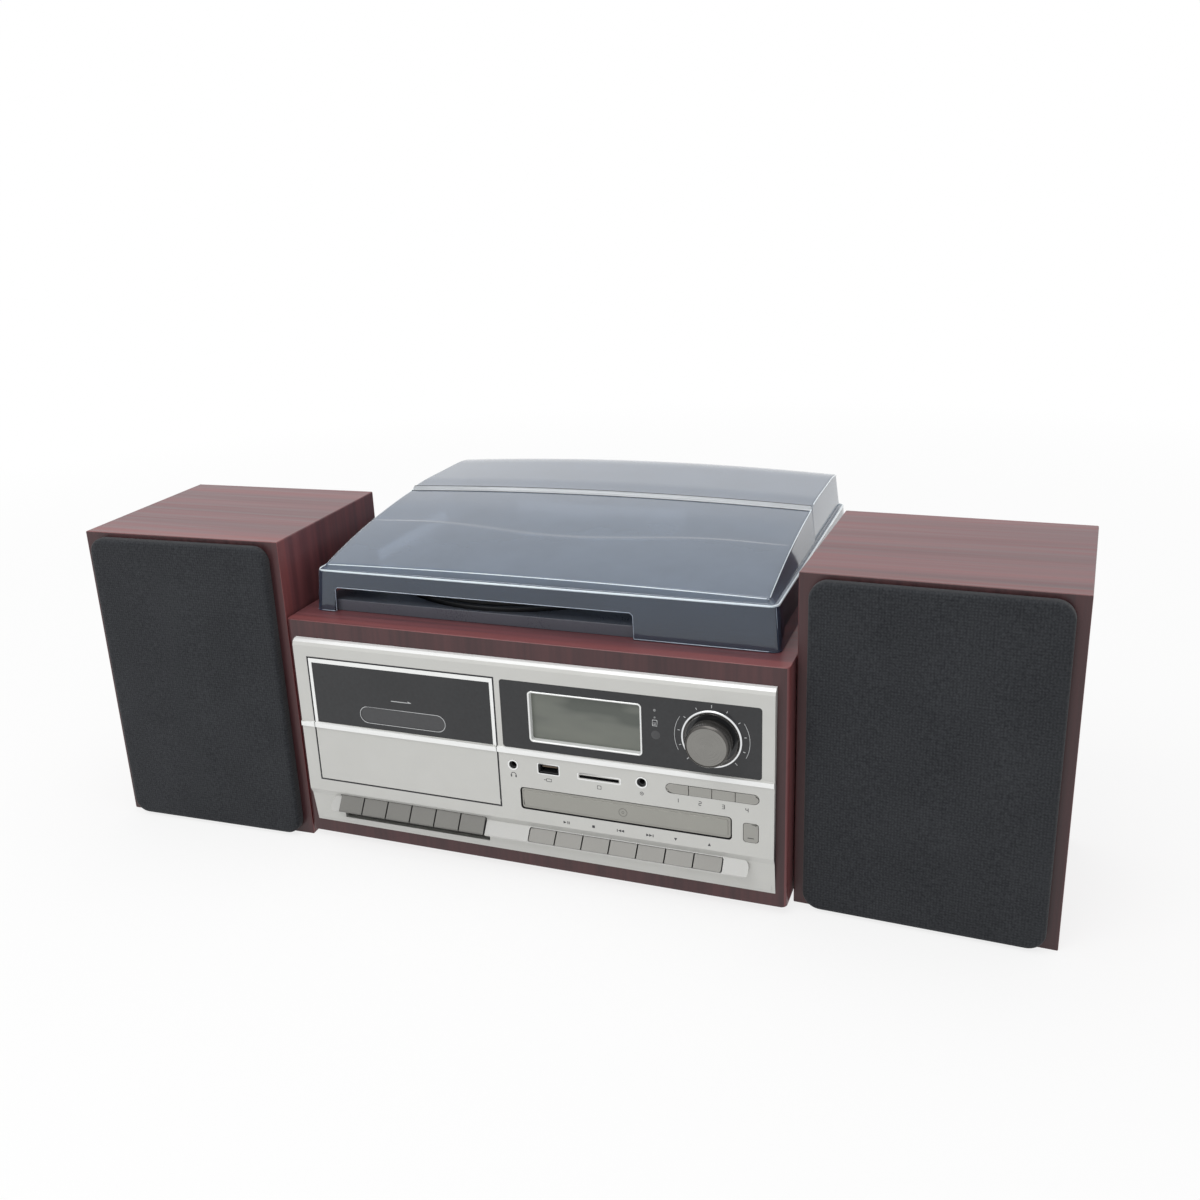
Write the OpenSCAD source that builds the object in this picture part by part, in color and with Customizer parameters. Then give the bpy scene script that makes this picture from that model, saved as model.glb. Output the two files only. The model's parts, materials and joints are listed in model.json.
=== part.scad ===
// Compact stereo music centre: record player under a smoked dust cover, cassette deck,
// CD drawer and radio display in a wood-wrapped cabinet, with two free-standing loudspeakers.
// X runs left to right, Y front to back, Z up. Before placed() moves everything to the
// origin, Y = 0 is the wooden front edge of the cabinet and Z = 0 the table.

/* [Cabinet] */
// Outside width of the wood-wrapped cabinet
cab_w = 345; // [335:1:370]
// Outside depth
cab_d = 300; // [290:1:340]
// Outside height without feet
cab_h = 162; // [160:1:180]
// Side board thickness
side_board = 9; // [8:0.5:12]
// Top board thickness
top_board = 14; // [12:0.5:16]
// Bottom board thickness
bottom_board = 11.5; // [9:0.5:14]
// Rounding of the two front vertical edges
cab_edge_r = 4; // [2:0.5:6]
// Rubber foot height
foot_h = 6; // [4:0.5:10]
// Rubber foot diameter
foot_d = 20; // [14:1:26]
// Hardboard back thickness
back_t = 3; // [2:0.5:4]

/* [Fascia] */
// How far the fascia covers the front edges of the boards
fascia_lap = 2; // [1:0.25:3]
// How far the fascia stands out of the wood
fascia_proud = 5.5; // [4.5:0.25:7]
// Moulding wall thickness
skin = 2.5; // [2:0.1:3]
// Height of the bright ridge above the fascia's lower edge
ridge_z = 76.5; // [75.5:0.5:77]
// Ridge height
ridge_h = 3.8; // [3:0.1:4.2]
// Ridge stand-out
ridge_proud = 1.2; // [0.6:0.1:2]
// Height of the crease where the lower zone starts to slope back
crease_z = 27.2; // [26.5:0.1:28]
// How far the crease steps back
crease_in = 2.3; // [1.5:0.1:3]
// Height over which it steps back
crease_h = 4.6; // [3:0.1:5]

/* [Cassette deck] */
// Door width
door_w = 137.4; // [130:0.2:138]
// Door height
door_h = 90.8; // [88:0.2:91.4]
// Door's left edge, in from the fascia's left end
door_in = 11; // [10:0.2:13]
// Gap round the door
door_gap = 0.6; // [0.5:0.05:0.8]
// Silver frame beside the dark window
door_rim = 2.3; // [1.6:0.1:4]
// Depth of the cassette well behind the door
well_d = 14; // [14:0.5:20]
// Distance between the two reel centres
reel_pitch = 42.5; // [42:0.1:43]

/* [Key rows] */
// Distance from one key to the next
key_pitch = 18.7; // [18:0.1:18.8]
// Left edge of the cassette keys, in from the door's left edge
keys_in = 12.9; // [12.5:0.1:16]
// Left edge of the lower buttons, in from the dark window's left edge
buttons_in = 14.6; // [14:0.1:16]
// Gap between neighbouring keys
key_gap = 0.6; // [0.5:0.05:0.9]
// How far the key bar's lower edge stands out of the cabinet's front
bar_proud = 9.2; // [8:0.1:10]

/* [Display and knob] */
// Dark window's right edge, in from the fascia's right end
window_in = 7.8; // [7.5:0.1:9.5]
// Dark window width
window_w = 169.8; // [168:0.1:170.2]
// Dark window height
window_h = 47.3; // [46:0.1:48]
// Display frame width
lcd_w = 75.8; // [70:0.2:78]
// Display frame height
lcd_h = 35.3; // [32:0.1:36]
// Display frame's left edge, in from the dark window's left edge
lcd_in = 19.1; // [16:0.1:20]
// Volume knob diameter
knob_d = 28; // [24:0.5:30]
// Knob stand-out from the fascia's face
knob_proud = 13; // [9:0.5:16]
// Chrome ring outer diameter
ring_d = 38.2; // [36:0.2:40]
// Control shaft diameter
knob_shaft_d = 6; // [4:0.5:8]

/* [Sockets] */
// Jack socket bore
jack_d = 3.6; // [3.5:0.05:3.8]
// Jack socket depth
jack_l = 14; // [12:0.5:16]
// USB opening width
usb_w = 12.4; // [12.2:0.1:13]
// USB opening height
usb_h = 4.8; // [4.6:0.1:5.4]

/* [CD player] */
// Drawer slot width
slot_w = 141.5; // [138:0.5:142]
// Drawer slot height
slot_h = 16; // [15:0.2:17]
// Length of the tray
tray_l = 158; // [150:1:165]
// Thickness of the tray
tray_t = 6; // [5:0.5:8]
// Disc recess diameter
disc_d = 122; // [121:0.5:124]

/* [Record deck] */
// Deck and dust cover offset to the right of the cabinet's middle
deck_x = 1; // [0:0.5:2]
// Deck block height above the cabinet
deck_h = 8; // [7:0.5:9]
// Platter diameter
platter_d = 198; // [190:1:200]
// Spindle pin diameter
spindle_d = 7.1; // [7:0.02:7.14]
// Spindle, in from the deck's left edge
spindle_x = 116.45; // [114:0.05:118]
// Spindle, back from the cabinet's front
spindle_y = 129.5; // [128:0.5:132]
// Tonearm pivot, in from the deck's right edge
pivot_x = 38.95; // [36:0.05:40]
// Tonearm pivot, back from the cabinet's front
pivot_y = 219; // [216:0.5:220]
// Effective length of the tonearm
arm_len = 183; // [180:0.5:184]
// Tonearm tube diameter
arm_d = 8; // [6:0.5:9]

/* [Dust cover] */
// Set-back of the cover from the cabinet's front
cover_y = 20.5; // [19:0.5:22]
// How far the cover's lower edge stays in from the cabinet's sides
cover_side = 10.6; // [9.5:0.1:12]
// How far the cover's lower edge stays in from the cabinet's back
cover_rear = 35.5; // [30:0.5:37]
// Height of the skirt up to its rim
skirt_h = 29; // [28:0.5:32]
// Draft of the skirt walls
cover_draft = 2.4; // [1:0.1:3]
// Ledge between the rim and the arched top
ledge = 3; // [2:0.1:5]
// Rise of the top's front edge above the rim
front_rise = 3.3; // [3:0.1:6]
// Further rise from the front edge to the step
arch_rise = 19.5; // [16:0.5:24]
// Height of the step across the top
step_h = 2.2; // [1.5:0.1:4]
// Side-to-side crown at the rear of the top
crown = 5; // [3:0.5:8]
// Wall thickness
cover_t = 2.2; // [1.8:0.1:2.6]
// Height of the record cut-outs in the skirt
cut_h = 17.2; // [16.8:0.1:19]

/* [Loudspeakers] */
// Loudspeaker width
spk_w = 157; // [150:1:165]
// Loudspeaker depth without the grille
spk_d = 137.5; // [125:0.5:150]
// Loudspeaker height
spk_h = 221.5; // [205:0.5:240]
// Gap between cabinet and loudspeaker
spk_gap = 0.8; // [0.5:0.1:20]
// How far each loudspeaker turns towards the listener, in degrees
toe_in = 2; // [0:0.5:4]
// Board thickness of the loudspeaker box
spk_board = 9; // [8:0.5:12]
// Grille stand-out
grille_t = 8; // [7:0.5:10]
// Grille margin at the sides
grille_side = 7; // [6:0.5:9]
// Grille margin at the top
grille_top = 3; // [2:0.5:6]
// Grille margin at the bottom
grille_bottom = 2; // [1.5:0.5:4]
// Grille corner radius
grille_r = 11; // [8:0.5:14]
// Driver frame diameter
driver_d = 104; // [96:1:108]

/* [Hidden] */

// Small shared clearances
eps = 0.02;
fit_gap = 0.3;
shaft_gap = 0.05;

// Cabinet levels and inside faces
cab_z0 = foot_h;
cab_z1 = foot_h + cab_h;
in_x = cab_w / 2 - side_board;
in_z0 = cab_z0 + bottom_board;
in_z1 = cab_z1 - top_board;
foot_inset = 30;
back_in = 3;
back_y = cab_d - back_in - back_t;
main_z = in_z0 + 5;
rear_proud = 6;
cover_w = cab_w - 2 * cover_side;
cover_l = cab_d - cover_y - cover_rear;

// Main board, tied to the cabinet's sides and back
main_x = in_x - 13.5;
main_y0 = back_y - 86;
main_y1 = back_y - 4;
main_t = 1.6;
post_in = 6;
post_r = 3;
sink_w = 70;
sink_h = 33;
sink_y = main_y0 + 54;
sink_t = 4;
cap_x = 84;
cap_pitch = 20;
cap_y = main_y0 + 32;
cap_r = 8;
cap_h = 24;
trafo_x = -main_x + 8;
trafo_y = main_y0 + 12;
trafo_w = 56;
trafo_d = 42;
trafo_h = 38;
trafo_in = 7;
trafo_out = 8;
trafo_low = 4;

// Sockets in the rear panel
phono_x = [-118, -100];
phono_z = 44;
phono_r = 4.15;
phono_bore_r = 1.75;
rear_gap = 0.3;
clip_x0 = -54;
clip_x1 = 14;
clip_z0 = 34;
clip_z1 = 54;
clip_pitch = 16;
clip_w = 12;
clip_in = 4;
inlet_x0 = 99;
inlet_x1 = 125;
inlet_z0 = 33;
inlet_z1 = 53;
inlet_wall = 3;
rear_hw = 125;
vent_x = -60;
vent_z0 = 96;
vent_z1 = 128;
vent_pitch = 17;
vent_w = 4;

// Fascia box and section
fas_x = in_x + fascia_lap;
fas_z0 = in_z0 - fascia_lap;
fas_z1 = in_z1 + fascia_lap;
fas_y = -fascia_proud;
skin_y = fas_y + skin;
bevel_h = 4;
ridge_z0 = fas_z0 + ridge_z;
ridge_z1 = ridge_z0 + ridge_h;
crease_z1 = fas_z0 + crease_z;
crease_z0 = crease_z1 - crease_h;
crease_y = fas_y + crease_in;
flange_gap = 0.4;
flange_d = 8;

// Door and cassette levels
door_x = -fas_x + door_in + door_w / 2;
keys_x = door_x - door_w / 2 + keys_in;
window_x1 = fas_x - window_in;
window_x0 = window_x1 - window_w;
buttons_x = window_x0 + buttons_in;
lcd_x = window_x0 + lcd_in;
door_x0 = door_x - door_w / 2;
door_x1 = door_x + door_w / 2;
door_z1 = ridge_z1 + 47.4;
door_z0 = door_z1 - door_h;
lens_z0 = ridge_z1 + 0.2;
lens_z1 = door_z1 - door_rim - 0.7;
hinge_y = fas_y + 1.3;
hinge_z = door_z0 + 2.9;
hinge_r = 0.9;
well_y = skin_y + 0.2;
well_back = well_y + well_d;
well_t = 2;
reel_z = ridge_z1 + 10;
reel_r = 3.2;
reel_shaft_r = 1.5;
capstan_r = 1.2;
pill_w = 64.7;
pill_h = 12.3;
guide_x = 54.5;
shelf_z = reel_z - 36;
capstan_x = door_x + 35;
capstan_z = reel_z - 27;

// Key bar, running along the lower zone
bar_x0 = keys_x - 6.9;
bar_x1 = buttons_x + 7 * key_pitch + 16.4;
bar_z1 = crease_z0;
bar_z0 = crease_z0 - 10.2;
bar_r = 4.7;
bar_y = -bar_proud;
key_axis_y = 24;
key_axis_z = crease_z0 - 5;
key_shaft_r = 1.5;
key_top_z = crease_z1 - 2.5;
key_floor_z = fas_z0 + 5.2;

// Display window, sockets, buttons of the right half
win_z0 = ridge_z1 + 0.2;
win_z1 = win_z0 + window_h;
win_t = 2;
win_y = fas_y + 0.2;
boss_z1 = win_z1 + 4.2;
board_y = 1.6;
board_t = 1.6;
lcd_z = win_z1 - 6 - lcd_h;
lcd_depth = 3.4;
lcd_rim = 1.1;
knob_x = window_x1 - 30.6;
knob_z = win_z0 + 23.6;
knob_y = fas_y - knob_proud;
jack_x = window_x0 + 6;
aux_x = jack_x + 87.8;
usb_x = jack_x + 24.9;
card_x = jack_x + 59.4;
socket_z = ridge_z0 - 8.6;
jack_collar_r = 2.8;
aux_collar_r = 3.1;
jack_y = fas_y + 1.4;
sub_y = jack_y + jack_l + 1;
card_w = 26.8;
card_h = 2.2;
pill_x1 = window_x1 - 1.3;
pill_x0 = pill_x1 - 59.1;
mode_z = ridge_z0 - 9.7;
mode_h = 6.9;
slot_x0 = window_x0 + 10;
slot_z0 = crease_z1 + 9.4;
boss_z0 = slot_z0 + slot_h + 5.2;
eject_x = window_x1 - 6.5;
eject_w = 9.8;
eject_h = 13.3;
eject_z = slot_z0 + 6.95;
button_gap = 0.3;
cap_depth = 5;

// Loader behind the slot
load_x0 = slot_x0 + 2.5;
load_x1 = slot_x0 + slot_w - 2.5;
load_z0 = slot_z0 - 7;
load_z1 = slot_z0 + slot_h + 6;
load_y0 = 4.5;
load_t = 2;
tray_x0 = slot_x0 + 6;
tray_x1 = slot_x0 + slot_w - 6;
tray_z0 = slot_z0 + 3.5;
tray_y0 = skin_y + 0.1;
disc_y = tray_y0 + 9 + disc_d / 2;
disc_x = (tray_x0 + tray_x1) / 2;

// Record deck
deck_w = cover_w - 2 * cover_t - 7.5;
deck_y0 = cover_y + cover_t + 1.8;
deck_y1 = cover_y + cover_l - cover_t - 3.5;
deck_z = cab_z1 + deck_h;
deck_t = 2.5;
pan_in = 9;
pan_depth = top_board + 4;
sp_x = deck_x - deck_w / 2 + spindle_x;
pv_x = deck_x + deck_w / 2 - pivot_x;
switch_x = deck_x + deck_w / 2 - 26.95;
switch_y0 = 50;
switch_y1 = 74;
switch_w = 6;
platter_z0 = deck_z - 4.5;
platter_h = 7;
mat_t = 2;
mat_hole_r = 4.4;
mat_z = platter_z0 + platter_h + mat_t;
well_r = platter_d / 2 + 3;
bearing_r = 7.5;
pin_top = mat_z + 10;
motor_off = 62;
motor_x = sp_x - motor_off;
motor_y = spindle_y + motor_off;
motor_r = 14;
pulley_r = 6;
rim_r = hypot2(motor_off, motor_off) - pulley_r;
tower_h = 2.5;
tower_r = 13;
yoke_h = 6.7;
arm_z = mat_z + 8;
head_t = 4;
weight_r = 8;
weight_l = 17;
needle_z = mat_z + 1.6;
rest_y = spindle_y - 10;

// Dust cover
rim_z = cab_z1 + skirt_h;
base_hw = cover_w / 2;
rim_hw = base_hw - cover_draft;
top_hw = rim_hw - ledge;
base_y1 = cover_y + cover_l;
rim_y0 = cover_y + cover_draft;
rim_y1 = base_y1 - cover_draft;
arch_y0 = rim_y0 + ledge;
arch_y1 = rim_y1 - ledge;
step_y = arch_y0 + 0.567 * (arch_y1 - arch_y0);
top_draft = 2.5;
cut_x0 = sp_x - 106;
cut_x1 = sp_x + 108;
cut_side = 93;
cut_rear = 74;
cut_z = cab_z1 + cut_h;
pin_y = base_y1 + 5;
pin_z = cab_z1 + 6;
cover_pin_r = 2;
lug_r = 4.5;
lug_w = 14;
lug_x = base_hw - 33.9;

// Loudspeakers
spk_left_y = 2.1;
spk_right_y = 18.2;
spk_x = cab_w / 2 + spk_gap;
driver_z = 91;
driver_hole_r = driver_d / 2 - 7;
dust_cap_r = 11;
cone_depth = 12;
magnet_r = 34;
magnet_y = 26;
magnet_t = 18;
peg_r = 3;
peg_l = 6;
grille_rim = 9;
grille_skin = 1.5;
term_w = 52;
term_h = 40;
term_z = 60;

// The box that the whole set fills, front to back
y_front = knob_y;
y_rear = cab_d + rear_proud;
y_mid = (y_front + y_rear) / 2;

function hypot2(a, b) = sqrt(a * a + b * b);

module placed() { translate([0, -y_mid, 0]) children(); }

// ---------- shared shapes ----------

// Rounded rectangle from corner to corner
module round_rect(x0, x1, y0, y1, r) {
  translate([x0 + r, y0]) square([x1 - x0 - 2 * r, y1 - y0]);
  translate([x0, y0 + r]) square([x1 - x0, y1 - y0 - 2 * r]);
  for (x = [x0 + r, x1 - r]) for (y = [y0 + r, y1 - r]) translate([x, y]) circle(r);
}

// Box from corner to corner
module slab(x0, x1, y0, y1, z0, z1) {
  translate([x0, y0, z0]) cube([x1 - x0, y1 - y0, z1 - z0]);
}

// A plate drawn in the XZ plane, from y0 back to y1
module facing(y0, y1) {
  translate([0, y1, 0]) rotate([90, 0, 0]) linear_extrude(y1 - y0) children();
}

module face_plate(x0, x1, z0, z1, r, y0, y1) {
  facing(y0, y1) round_rect(x0, x1, z0, z1, r);
}

// A section drawn as (y, z) points, run along X
module along_x(x0, x1, points) {
  translate([x0, 0, 0]) rotate([90, 0, 90]) linear_extrude(x1 - x0) polygon(points);
}

module rod_x(x0, x1, y, z, r) {
  translate([x0, y, z]) rotate([0, 90, 0]) cylinder(h = x1 - x0, r = r);
}

module rod_y(x, z, r, y0, y1) {
  translate([x, y0, z]) rotate([-90, 0, 0]) cylinder(h = y1 - y0, r = r);
}

module rod_z(x, y, r, z0, z1) {
  translate([x, y, z0]) cylinder(h = z1 - z0, r = r);
}

// ---------- cabinet ----------

module cabinet() {
  color("#6e2f33") placed() difference() {
    intersection() {
      slab(-cab_w / 2, cab_w / 2, 0, cab_d, cab_z0, cab_z1);
      translate([0, 0, cab_z0]) linear_extrude(cab_h) {
        round_rect(-cab_w / 2, cab_w / 2, 0, cab_d - 10, cab_edge_r);
        translate([-cab_w / 2, 20]) square([cab_w, cab_d - 20]);
      }
    }
    slab(-in_x, in_x, -1, cab_d + 1, in_z0, in_z1);
    slab(deck_x - deck_w / 2 + pan_in - 1, deck_x + deck_w / 2 - pan_in + 1,
         deck_y0 + pan_in - 1, deck_y1 - pan_in + 1, in_z1 - 1, cab_z1 + 1);
  }
}

module rear_panel() {
  color("#4a3b30") placed() difference() {
    slab(-in_x + fit_gap, in_x - fit_gap, back_y, back_y + back_t,
         in_z0 + fit_gap, in_z1 - fit_gap);
    for (x = phono_x) rod_y(x, phono_z, phono_r + 0.45 + rear_gap, back_y - 1,
                            back_y + back_t + 1);
    face_plate(clip_x0 - 2 * rear_gap, clip_x1 + 2 * rear_gap, clip_z0 - 2 * rear_gap,
               clip_z1 + 2 * rear_gap, 1, back_y - 1, back_y + back_t + 1);
    face_plate(inlet_x0 - 2 * rear_gap, inlet_x1 + 2 * rear_gap, inlet_z0 - 2 * rear_gap,
               inlet_z1 + 2 * rear_gap, 1, back_y - 1, back_y + back_t + 1);
    for (i = [0:7])
      face_plate(vent_x + i * vent_pitch, vent_x + vent_w + i * vent_pitch, vent_z0, vent_z1,
                 vent_w / 2 - 0.1, back_y - 1, cab_d);
  }
}

module feet() {
  color("#1d1d1f") placed()
    for (x = [-1, 1]) for (y = [foot_inset, cab_d - foot_inset])
      translate([x * (cab_w / 2 - foot_inset), y, 0])
        rotate_extrude() polygon([[0, 0], [foot_d / 2 - 1.5, 0], [foot_d / 2, foot_h], [0, foot_h]]);
}

// ---------- fascia ----------

// Outer face line of the fascia as (y, z), bottom to top
fascia_line = [
  [0, fas_z0], [crease_y, crease_z0], [fas_y, crease_z1],
  [fas_y, ridge_z0 - 0.5], [fas_y - ridge_proud, ridge_z0],
  [fas_y - ridge_proud, ridge_z1 - 0.6], [fas_y, ridge_z1],
  [fas_y, fas_z1 - bevel_h], [fas_y + 0.9, fas_z1 - bevel_h * 0.45],
  [fas_y * 0.45, fas_z1 - 0.4], [0, fas_z1]];

// Inner face line, one wall behind it
cavity_line = [
  [flange_d + 1, fas_z0 + fascia_lap + skin], [skin + 0.2, fas_z0 + fascia_lap + skin],
  [crease_y + skin, crease_z0 - 1], [skin_y, crease_z1 - 1], [skin_y, fas_z1 - bevel_h - 1],
  [skin_y + 1, fas_z1 - fascia_lap - skin], [flange_d + 1, fas_z1 - fascia_lap - skin]];

module key_bar() {
  intersection() {
    along_x(bar_x0, bar_x1,
      [[crease_y, bar_z1], [bar_y, bar_z0 + 1.9], [bar_y + 0.8, bar_z0 + 0.6],
       [-1, bar_z0], [1, bar_z0], [1, bar_z1]]);
    face_plate(bar_x0, bar_x1, bar_z0, bar_z1 + 0.6, bar_r, bar_y - 1, 2);
  }
}

module front_fascia() {
  color("#c4c5c0") placed() difference() {
    union() {
      difference() {
        union() {
          along_x(-fas_x, fas_x, fascia_line);
          slab(-in_x + flange_gap, in_x - flange_gap, -1, flange_d,
               in_z0 + flange_gap, in_z1 - flange_gap);
        }
        along_x(-in_x + skin, in_x - skin, cavity_line);
      }
      key_bar();
      // frame that the display window is glued against
      slab(window_x0 - 1.5, window_x1 + 2, skin_y - 1, board_y - 3.5, win_z0 - 1, win_z1 + 2);
      // bosses for the control board
      for (p = [[window_x0 + 8.1, boss_z1], [window_x0 + 87.1, boss_z1], [window_x1 - 7.7, boss_z1],
                [slot_x0 + 6.1, boss_z0], [slot_x0 + slot_w + 0.6, boss_z0]])
        rod_y(p[0], p[1], 2.6, skin_y - eps, board_y);
    }
    // cassette door opening and its hinge holes
    slab(door_x0 - door_gap, door_x1 + door_gap, fas_y - 3, flange_d + 1,
         door_z0 - door_gap, door_z1 + door_gap);
    rod_x(door_x0 - door_gap - 2.2, door_x1 + door_gap + 2.2, hinge_y, hinge_z,
          hinge_r + shaft_gap);
    // display window seat and the opening behind it
    face_plate(window_x0 - 0.15, window_x1 + 0.15, win_z0 - 0.1, win_z1 + 0.15, 2.1,
               fas_y - 3, win_y + win_t);
    face_plate(window_x0 + 3, window_x1 - 3, win_z0 + 3, win_z1 - 3, 2, fas_y - 3, 1);
    // sockets
    rod_y(jack_x, socket_z, jack_collar_r + 1, fas_y - 1, 1);
    rod_y(aux_x, socket_z, aux_collar_r + 1, fas_y - 1, 1);
    face_plate(usb_x - usb_w / 2 - 0.9, usb_x + usb_w / 2 + 0.9, socket_z - usb_h / 2 - 0.9,
               socket_z + usb_h / 2 + 0.9, 0.5, fas_y - 1, 1);
    face_plate(card_x - card_w / 2, card_x + card_w / 2, socket_z - 1.6 - card_h / 2,
               socket_z - 1.6 + card_h / 2, 0.5, fas_y - 1, 1);
    // mode buttons, drawer slot, eject button
    face_plate(pill_x0, pill_x1, mode_z - mode_h / 2, mode_z + mode_h / 2, mode_h / 2 - eps,
               fas_y - 1, 1);
    face_plate(slot_x0, slot_x0 + slot_w, slot_z0, slot_z0 + slot_h, 2.5, fas_y - 1, 1);
    face_plate(eject_x - eject_w / 2, eject_x + eject_w / 2, eject_z - eject_h / 2,
               eject_z + eject_h / 2, 2, fas_y - 1, 1);
    // cassette keys with the slot they move down into, and the lower buttons
    slab(keys_x - key_gap / 2, keys_x + 6 * key_pitch + key_gap / 2, bar_y - 3, flange_d + 1,
         key_floor_z, key_top_z + 0.5);
    face_plate(buttons_x - key_gap / 2, buttons_x + 7 * key_pitch + key_gap / 2,
               bar_z0 + 2, bar_z1 - 0.4, 1.2, bar_y - 3, flange_d + 1);
  }
}

module display_window() {
  color("#2c2e31") placed() difference() {
    face_plate(window_x0, window_x1, win_z0, win_z1, 2, win_y, win_y + win_t);
    face_plate(lcd_x + 0.2, lcd_x + lcd_w - 0.2, lcd_z + 0.2, lcd_z + lcd_h - 0.2, 2,
               fas_y - 1, fas_y + 4);
    rod_y(knob_x, knob_z, knob_shaft_d / 2 + 1.5, fas_y - 1, fas_y + 4);
  }
}

module lcd_bezel() {
  color("#d6d7d4") placed() difference() {
    union() {
      face_plate(lcd_x, lcd_x + lcd_w, lcd_z, lcd_z + lcd_h, 2.6, win_y - 0.6, win_y);
      face_plate(lcd_x + 0.35, lcd_x + lcd_w - 0.35, lcd_z + 0.35, lcd_z + lcd_h - 0.35, 1.8,
                 win_y - 0.1, win_y + lcd_depth);
    }
    face_plate(lcd_x + lcd_rim, lcd_x + lcd_w - lcd_rim, lcd_z + lcd_rim,
               lcd_z + lcd_h - lcd_rim, 1.2, win_y - 1, win_y + lcd_depth + 1);
  }
}

module lcd_panel() {
  color("#8b8f80") placed()
    slab(lcd_x + 0.6, lcd_x + lcd_w - 0.6, win_y + lcd_depth, board_y,
         lcd_z + 0.6, lcd_z + lcd_h - 0.6);
}

module volume_ring() {
  color("#e4e6e8") placed()
    translate([knob_x, win_y, knob_z]) rotate([90, 0, 0]) rotate_extrude() polygon([
      [ring_d / 2 - 3.2, 0], [ring_d / 2, 0], [ring_d / 2, 0.8], [ring_d / 2 - 0.7, 1.8],
      [ring_d / 2 - 1.5, 1.8], [ring_d / 2 - 2.3, 0.6], [ring_d / 2 - 3.2, 0.5]]);
}

// Front circuit board: carries the display, the volume control and the push switches
module control_board() {
  color("#3d5a3a") placed() {
    difference() {
      slab(jack_x - 2.9, in_x - 4, board_y, board_y + board_t, slot_z0 + slot_h + 1.6, in_z1 - 4);
      for (x = [jack_x, aux_x]) rod_y(x, socket_z, aux_collar_r + 3.4, 0, 5);
      slab(usb_x - usb_w / 2 - 1.6, card_x + card_w / 2 + 1.6, 0, 5,
           socket_z - usb_h / 2 - 1.8, socket_z + usb_h / 2 + 1.8);
    }
    // volume control: body and shaft
    rod_y(knob_x, knob_z, knob_shaft_d / 2, knob_y + 4.5, board_y + eps);
    rod_y(knob_x, knob_z, 8, skin_y + 1, board_y + eps);
    // push switches behind the mode buttons
    for (i = [0:3]) {
      x = mode_x(i) + mode_w / 2;
      slab(x - 3, x + 3, mode_y1 + mode_travel + 0.1, board_y + eps, mode_z - 2.5, mode_z + 2.5);
    }
    // side arm with the eject switch, stepping back to the lower strip
    slab(eject_x - 3.6, in_x - 4, board_y, board_y + board_t, crease_z1 - 1, slot_z0 + slot_h + 1.7);
    slab(eject_x - 3, eject_x + 3, mode_y1 + mode_travel + 0.1, board_y + eps, eject_z - 2.5,
         eject_z + 2.5);
    slab(eject_x, in_x - 4, board_y, strip_y + board_t, crease_z1 - 1, crease_z1 + 1);
    slab(eject_x, in_x - 4, strip_y, strip_y + board_t, bar_z0 - 4, crease_z1);
    // lower strip with the switches of the bottom buttons
    slab(buttons_x, in_x - 4, strip_y, strip_y + board_t, bar_z0 - 4, bar_z1 + 1);
    for (i = [0:6]) {
      x = buttons_x + (i + 0.5) * key_pitch;
      slab(x - 3, x + 3, button_y1 + low_travel + 0.1, strip_y + eps, bar_z0 + 2.5, bar_z0 + 8);
    }
  }
}

module jack(x, collar) {
  difference() {
    union() {
      rod_y(x, socket_z, collar + 0.9, fas_y + 0.3, board_y + 0.5);
      slab(x - 4, x + 4, board_y, sub_y + eps, socket_z - 4, socket_z + 4);
    }
    rod_y(x, socket_z, collar, fas_y - 1, jack_y);
    rod_y(x, socket_z, jack_d / 2, fas_y - 1, jack_y + jack_l);
  }
}

// Jacks, USB and card sockets on their own board, which stands on four posts
module front_sockets() {
  color("#3a3733") placed() {
    difference() {
      slab(jack_x - 4, aux_x + 5, sub_y, sub_y + board_t, socket_z - 6.5, socket_z + 6.5);
      slab(card_x - card_w / 2, card_x + card_w / 2, sub_y - 1, sub_y + 3,
           socket_z - 1.6 - card_h / 2, socket_z - 1.6 + card_h / 2);
    }
    for (x = [jack_x + 9.4, aux_x - 9.7]) for (z = [-5, 5])
      rod_y(x, socket_z + z, 1.4, board_y + board_t, sub_y + eps);
    jack(jack_x, jack_collar_r);
    jack(aux_x, aux_collar_r);
    // USB shell
    difference() {
      slab(usb_x - usb_w / 2 - 0.6, usb_x + usb_w / 2 + 0.6, fas_y + 0.8, sub_y + eps,
           socket_z - usb_h / 2 - 0.6, socket_z + usb_h / 2 + 0.6);
      slab(usb_x - usb_w / 2, usb_x + usb_w / 2, fas_y - 1, sub_y - 1,
           socket_z - usb_h / 2, socket_z + usb_h / 2);
    }
    // card reader shell
    difference() {
      slab(card_x - card_w / 2 - 0.9, card_x + card_w / 2 + 0.9, skin_y + 0.2, sub_y + 12,
           socket_z - 1.6 - card_h / 2 - 0.8, socket_z - 1.6 + card_h / 2 + 0.8);
      slab(card_x - card_w / 2, card_x + card_w / 2, fas_y - 1, sub_y + 11,
           socket_z - 1.6 - card_h / 2, socket_z - 1.6 + card_h / 2);
    }
  }
}

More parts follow.
